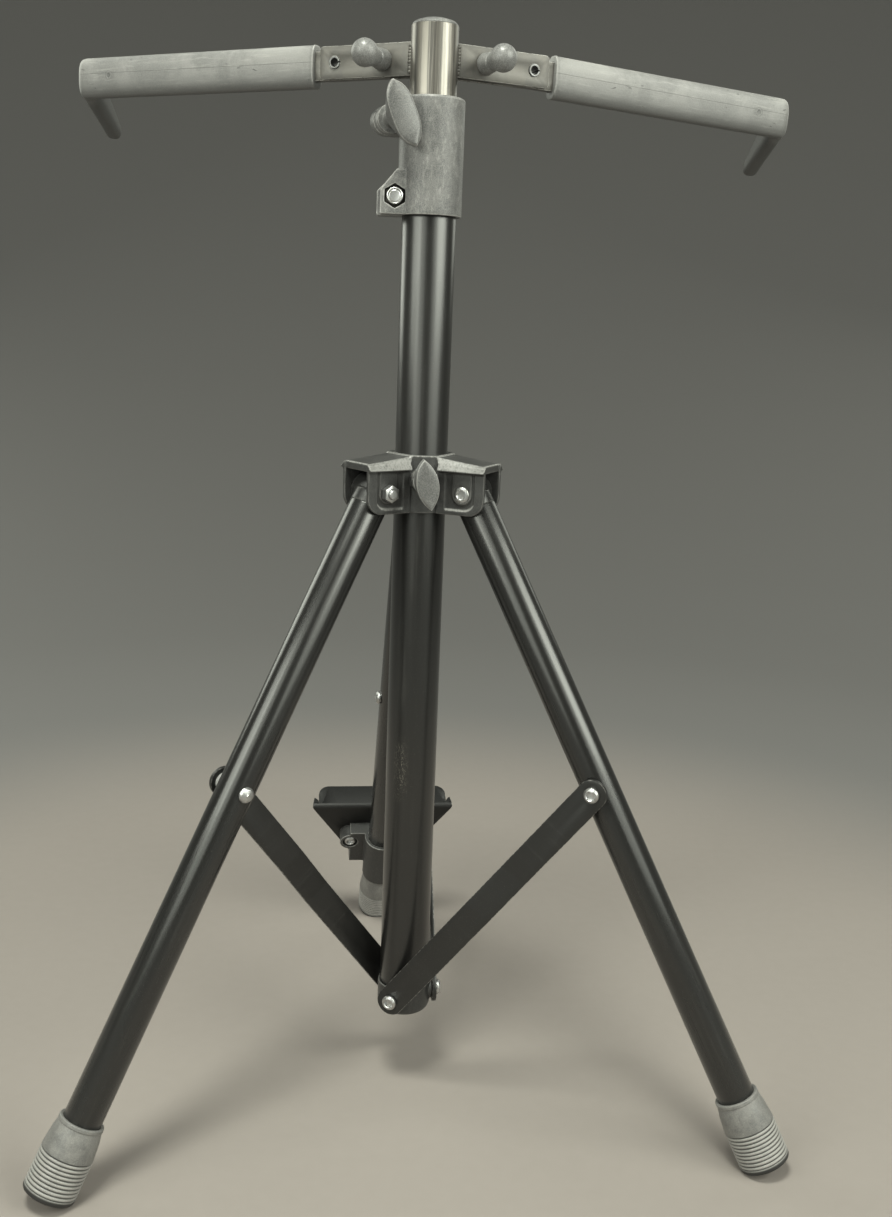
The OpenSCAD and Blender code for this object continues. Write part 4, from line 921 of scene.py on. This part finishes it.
# Painted shade in the grooves between the ribs, and a painted highlight on the rib crests, broken by the speckle.
groove_painted_shade = (1 - girth.between(15.8 ** 2, 16.8 ** 2)) * ribbed
crest_painted_highlight = girth.between(16.5 ** 2, 17.2 ** 2) * ribbed
colour = rubber.mix(speck.between(0.3, 0.7), grey(0.11, 0.01), grey(0.17, 0.02))
colour = rubber.over(colour, (ash * 0.35, grey(0.3, 0.04)), (speck.between(0.66, 0.74) * 0.4, grey(0.45, 0.04)),
                     (crest_painted_highlight * (speck * 0.5 + 0.2), grey(0.42, 0.03)), (groove_painted_shade * 0.9, grey(0.01)))
# Painted shade: near black at the very bottom, where the foot curves under to the floor.
colour = rubber.mix((height - 1.2).between(0, 2.0), grey(0.02), colour)
foot_rubber = rubber.done(Base_Color=colour, Roughness=0.36 + ash * 0.2,
                          Normal=rubber.bump(speck + dusty, 0.00004))

ribs = Tree("foot_ribs")
count, pitch, lowest, ring, rounding = ribs.sizes(**RIBS)
hoop, section = [ribs.add("GeometryNodeCurvePrimitiveCircle", None, {"Resolution": steps, "Radius": r})
                 for steps, r in ((80, ring), (12, rounding))]
rib = ribs.add("GeometryNodeCurveToMesh", None, {"Curve": hoop, "Profile Curve": section})
stacked = ribs.add("GeometryNodeInstanceOnPoints", None,
                   {"Points": ribs.line(count, pitch, lowest), "Instance": rib})
both = ribs.add("GeometryNodeJoinGeometry")
for shape in (ribs.shape(), stacked):
    ribs.tree.links.new(shape.socket, both.socket.node.inputs[0])
ribs.end(both, foot_rubber)

for side in LEG_TURNS:
    body = turned(eased([
        (0, -1.4), (FOOT_R - 0.3, -1.4, 4.0), (FOOT_R - 0.1, 2.4, 0.3), (FOOT_R - 1.6, 2.9, 0.2),
        (FOOT_R - 1.6, 26.0, 0.3), (FOOT_R - 0.1, 26.6, 0.6), (15.9, 38.0, 12), (FOOT_RING_R + 0.1, 44.4, 3),
        (FOOT_RING_R, 45.0, 0.3), (FOOT_RING_R + 0.35, 45.4, 0.3), (FOOT_RING_R + 0.3, FOOT_H - 0.2, 0.7),
        (LEG_R + 0.05, FOOT_H - 0.4, 0.3), (LEG_R + 0.05, FOOT_FLOOR, 0.2), (0, FOOT_FLOOR)], 0.3), 96)
    foot = grown(body, ribs.tree, **RIBS)
    place = along_leg(side) @ shift(0, 0, -LEG_LEN)
    for v in foot.verts:
        stood = place @ v.co
        if stood.z < 0:
            v.co = place.inverted() @ Vector((stood.x, stood.y, 0))
    piece(f"{side}_ferrule", foot, place, f"{side}_leg", foot_rubber, f"{side}_foot")


# Struts: flat steel bars of 20 by 3 mm with round ends and a joggle near the top, powder coated.
# Each turns on the base cap, and carries its own bolt and a pale spacer at the leg.
STRUT_LEN, STRUT_W, STRUT_SLANT, JOGGLE_AT, JOGGLE_LEN = 227.4, 20.0, 37.331, 104.0, 39.0
SPACER_R, SPACER_T = 7.0, 2.75
SPACER_SIDE = LEG_R + FACE_GAP
UPPER_SIDE = SPACER_SIDE + 2.8


def joggled(x):
    """How far the strut's inner face stands off the leg's plane, at a distance up the strut."""
    return LOWER_SIDE + (UPPER_SIDE - LOWER_SIDE) * min(1, max(0, (x - JOGGLE_AT) / JOGGLE_LEN))


black_steel = powder_coat("black_steel_coat", 0.009, 0.36, 0.3)
spacer_nylon = nylon("spacer_nylon", 0.32, 0.45, 0.00002)
strut_outline = arc(0, STRUT_W / 2, 1.5 * pi, pi / 2, 24) + arc(STRUT_LEN, STRUT_W / 2, pi / 2, -pi / 2, 24)
strut_holes = [circle(0, 0, BOLT_R + 0.1), circle(STRUT_LEN, 0, BOLT_R + 0.05)]
bends = [c + d for c in (JOGGLE_AT, JOGGLE_AT + JOGGLE_LEN) for d in (-1.5, -0.5, 0.5, 1.5)]
for side in LEG_TURNS:
    hinge = about_post(LEG_TURNS[side], STRUT_FOOT_Z) @ turn(STRUT_SLANT, "Y") @ turn(-90, "Y")
    bar = slab(strut_outline, strut_holes, STRUT_T, 0.35, bends)
    for v in bar.verts:
        x, y, z = v.co
        v.co = (x, -(joggled(x - 1.5) + joggled(x) + joggled(x + 1.5)) / 3 - z, -y)
    piece(f"{side}_strut_bar", outward(bar), hinge, f"{side}_strut", black_steel, f"{side}_strut")
    leg_end = hinge @ shift(STRUT_LEN)
    bolt = socket_bolt(HEAD_R, HEAD_H, BOLT_R, UPPER_SIDE + STRUT_T - SPACER_SIDE)
    zinc_piece(f"{side}_strut_leg_bolt", bolt, leg_end @ shift(0, -UPPER_SIDE - STRUT_T - 0.05) @ turn(90, "X"),
               f"{side}_strut", f"{side}_strut_bolt")
    piece(f"{side}_strut_spacer_ring", pipe(SPACER_R, BOLT_R + 0.05, 0, SPACER_T, 0.25),
          leg_end @ shift(0, -SPACER_SIDE) @ turn(90, "X"), f"{side}_strut", spacer_nylon,
          f"{side}_strut_spacer")


# Lower rest: a moulded saddle that slides on the rear leg, and a steel plate bolted to it and bent
# out into a flange, which the instrument's lower edge stands on.
REST_IN, REST_T, REST_DOWN, REST_HALF, REST_LEN, REST_FOOT_HALF = 16.0, 2.5, 365.9, 61.5, 70.1, 22
FLANGE_W, FLANGE_HALF, RELIEF_R, BEND_R = 20.6, 57.0, 6, 1.5
REST_BOLT_SIDE, REST_BOLT_UP, REST_LUG, REST_SHANK = 28.6, 38.4, 3.0, 5.9
REST_BOLT_DOWN = LEG_LEN - FOOT_H - REST_DOWN - REST_BOLT_UP
BEND_LEN = (BEND_R + REST_T / 2) * pi / 2
piece("rest_saddle", moulded(cad_copy("rest_clamp"), 0.5, 4), about_post(), "rest", hub_nylon,
      "rest_clamp")

# The flat pattern, half of it mirrored: a tapering plate, a relief beside the bend, and the flange
half = [(REST_FOOT_HALF, REST_LEN, 0.6), (REST_HALF + 1, 0.6, 0.6), (REST_HALF + 0.6, -3.0, 0.6)]
for t in [radians(d) for d in range(70, -1, -10)]:
    half.append((FLANGE_HALF + RELIEF_R - RELIEF_R * cos(t), -3.0 - RELIEF_R * sin(t), 0))
half.append((FLANGE_HALF, -FLANGE_W - 1.4, 10))
pattern = half + [(-x, y, r) for x, y, r in reversed(half)]
rest = slab([(y, x) for x, y in eased(pattern, 0, closed=True, steps=8)],
            [circle(REST_BOLT_DOWN, s * REST_BOLT_SIDE, BOLT_R + 0.05) for s in (-1, 1)], REST_T, 0.35,
            [BEND_LEN * (i / 6 - 0.5) for i in range(7)])
for v in rest.verts:
    down, across, out = v.co
    t = min(1, max(0, 0.5 - down / BEND_LEN)) * pi / 2
    flat, far = max(0, down - BEND_LEN / 2), max(0, -down - BEND_LEN / 2)
    r = BEND_R + REST_T - out
    v.co = (REST_IN + REST_T + BEND_R - r * cos(t) + far, across,
            -REST_DOWN - REST_T - BEND_R + r * sin(t) - flat)
# Black coat, painted darker than the other black coats as shade, on a plate that sits in shadow.
rest_shaded_black = powder_coat("rest_shaded_black_coat", 0.006, 0.5, 0.0)
piece("rest_shelf", outward(rest), along_leg("rear"), "rest", rest_shaded_black, "rest_plate")

rest_bolts, rest_nuts = bmesh.new(), bmesh.new()
for s in (-1, 1):
    at = shift(0, s * REST_BOLT_SIDE, REST_BOLT_UP + FOOT_H - LEG_LEN) @ turn(90, "Y")
    bolt = socket_bolt(HEAD_R, HEAD_H, BOLT_R, REST_IN + REST_T + REST_SHANK - REST_LUG - HEAD_H)
    joined(rest_bolts, bolt, at @ shift(0, 0, REST_LUG + 0.2 + HEAD_H) @ turn(180, "X"))
    joined(rest_nuts, hex_nut(3.9, 4.3, 4.4, 4.2), at @ shift(0, 0, REST_IN + REST_T + 0.05))
zinc_piece("rest_saddle_bolts", rest_bolts, along_leg("rear"), "rest", "rest_bolts")
zinc_piece("rest_saddle_nuts", rest_nuts, along_leg("rear"), "rest", "rest_nuts")


# The studio: a plain pale floor that darkens softly into a round backdrop, soft light from the
# front, from above and a little from behind, and the camera at the photograph's viewing angle.
FLOOR_R, SWEEP_FOOT, SWEEP_R, WALL_TOP, SPOKES = 0.46, 1.3, 2.05, 4.0, 96


def studio_paper(name, near, far):
    """Plain paper, pale under the stand and darker from FLOOR_R outwards."""
    paper = Finish(name)
    spot = paper.metres()
    away = paper.add("ShaderNodeVectorMath", {"operation": "LENGTH"}, {0: spot}, out="Value")
    fleck = paper.noise(spot, 90, 2)
    pale = paper.mix(fleck, *[(near * 1.12 * k, near * k, near * 0.92 * k, 1) for k in (0.97, 1.03)])
    dark = (far * 1.03, far, far * 0.98, 1)
    return paper.done(Base_Color=paper.mix(away.between(FLOOR_R, FLOOR_R + 0.45), pale, dark), Roughness=0.85)


bowl = bmesh.new()
middle = bowl.verts.new((0, 0, 0))
sweep = [(SWEEP_FOOT + SWEEP_R * sin(t), SWEEP_R * (1 - cos(t))) for t in np.linspace(0.1, pi / 2, 12)]
rows = [[bowl.verts.new((r * cos(tau * i / SPOKES), r * sin(tau * i / SPOKES), z)) for i in range(SPOKES)]
        for r, z in [(0.5, 0), (SWEEP_FOOT, 0), *sweep, (SWEEP_FOOT + SWEEP_R, WALL_TOP)]]
for i in range(SPOKES):
    bowl.faces.new((middle, rows[0][i - 1], rows[0][i]))
    for low, high in zip(rows, rows[1:]):
        bowl.faces.new((low[i - 1], high[i - 1], high[i], low[i]))
floor_mesh = meshed("studio_floor", bowl)
floor_mesh.shade_smooth()
floor_mesh.materials.append(studio_paper("studio_paper", 0.225, 0.155))
studio_floor = put_in("studio_floor", floor_mesh)

world = bpy.data.worlds.new("studio_air")
bpy.context.scene.world = world
world.use_nodes = True
air = world.node_tree.nodes["Background"].inputs
air["Color"].default_value, air["Strength"].default_value = (0.9, 0.95, 0.92, 1), 0.13

# Softboxes: where each stands, the height that it looks at, its size and its power
for name, place, aim, size, power in (
        ("left_front", (-1.15, -1.75, 1.2), 0.85, (1.2, 1.6), 13.8),
        ("right_front", (1.35, -1.65, 1.2), 0.85, (1.7, 1.6), 18.9),
        ("left_high", (-1.42, -1.0, 1.2), 0.4, (1.1, 0.75), 14),
        ("right_high", (1.34, -1.02, 1.42), 0.4, (1.3, 1.0), 26),
        ("key", (-0.35, -0.7, 2.3), 0.4, (0.55, 0.55), 48),
        ("left_back", (-1.6, 1.5, 1.3), 0.4, (1.2, 1.2), 14),
        ("right_back", (1.6, 1.6, 1.5), 0.4, (1.2, 1.2), 6)):
    lamp = bpy.data.lights.new(name + "_softbox", "AREA")
    lamp.shape, lamp.size, lamp.size_y = "RECTANGLE", *size
    lamp.energy, lamp.color = power, (0.965, 1.0, 0.885)
    box = put_in(name + "_softbox", lamp)
    box.location = place
    box.rotation_euler = (Vector((0, 0, aim)) - box.location).to_track_quat("-Z", "Y").to_euler()
    box.visible_camera = False

AZIMUTH, DIP, ROLL = radians(82.61), radians(12.43), radians(2.192)
ahead = Vector((cos(AZIMUTH) * cos(DIP), sin(AZIMUTH) * cos(DIP), -sin(DIP)))
level_right = Vector((sin(AZIMUTH), -cos(AZIMUTH), 0))
level_up = level_right.cross(ahead)
right = level_right * cos(ROLL) + level_up * sin(ROLL)
up = level_up * cos(ROLL) - level_right * sin(ROLL)
camera = put_in("camera", bpy.data.cameras.new("camera"))
eye = Vector((POST_X - 91.4, POST_Y - 864.4, 544.4)) / 1000
camera.matrix_world = Matrix.Translation(eye) @ Matrix((right, up, -ahead)).transposed().to_4x4()
FILM, FOCUS, PHOTO_H = 36, 1293.75, 1217
camera.data.sensor_width = FILM
camera.data.lens = FOCUS / PHOTO_H * FILM
camera.data.clip_start, camera.data.clip_end = 0.05, 20
bpy.context.scene.camera = camera
bpy.context.scene.view_settings.view_transform = "Standard"
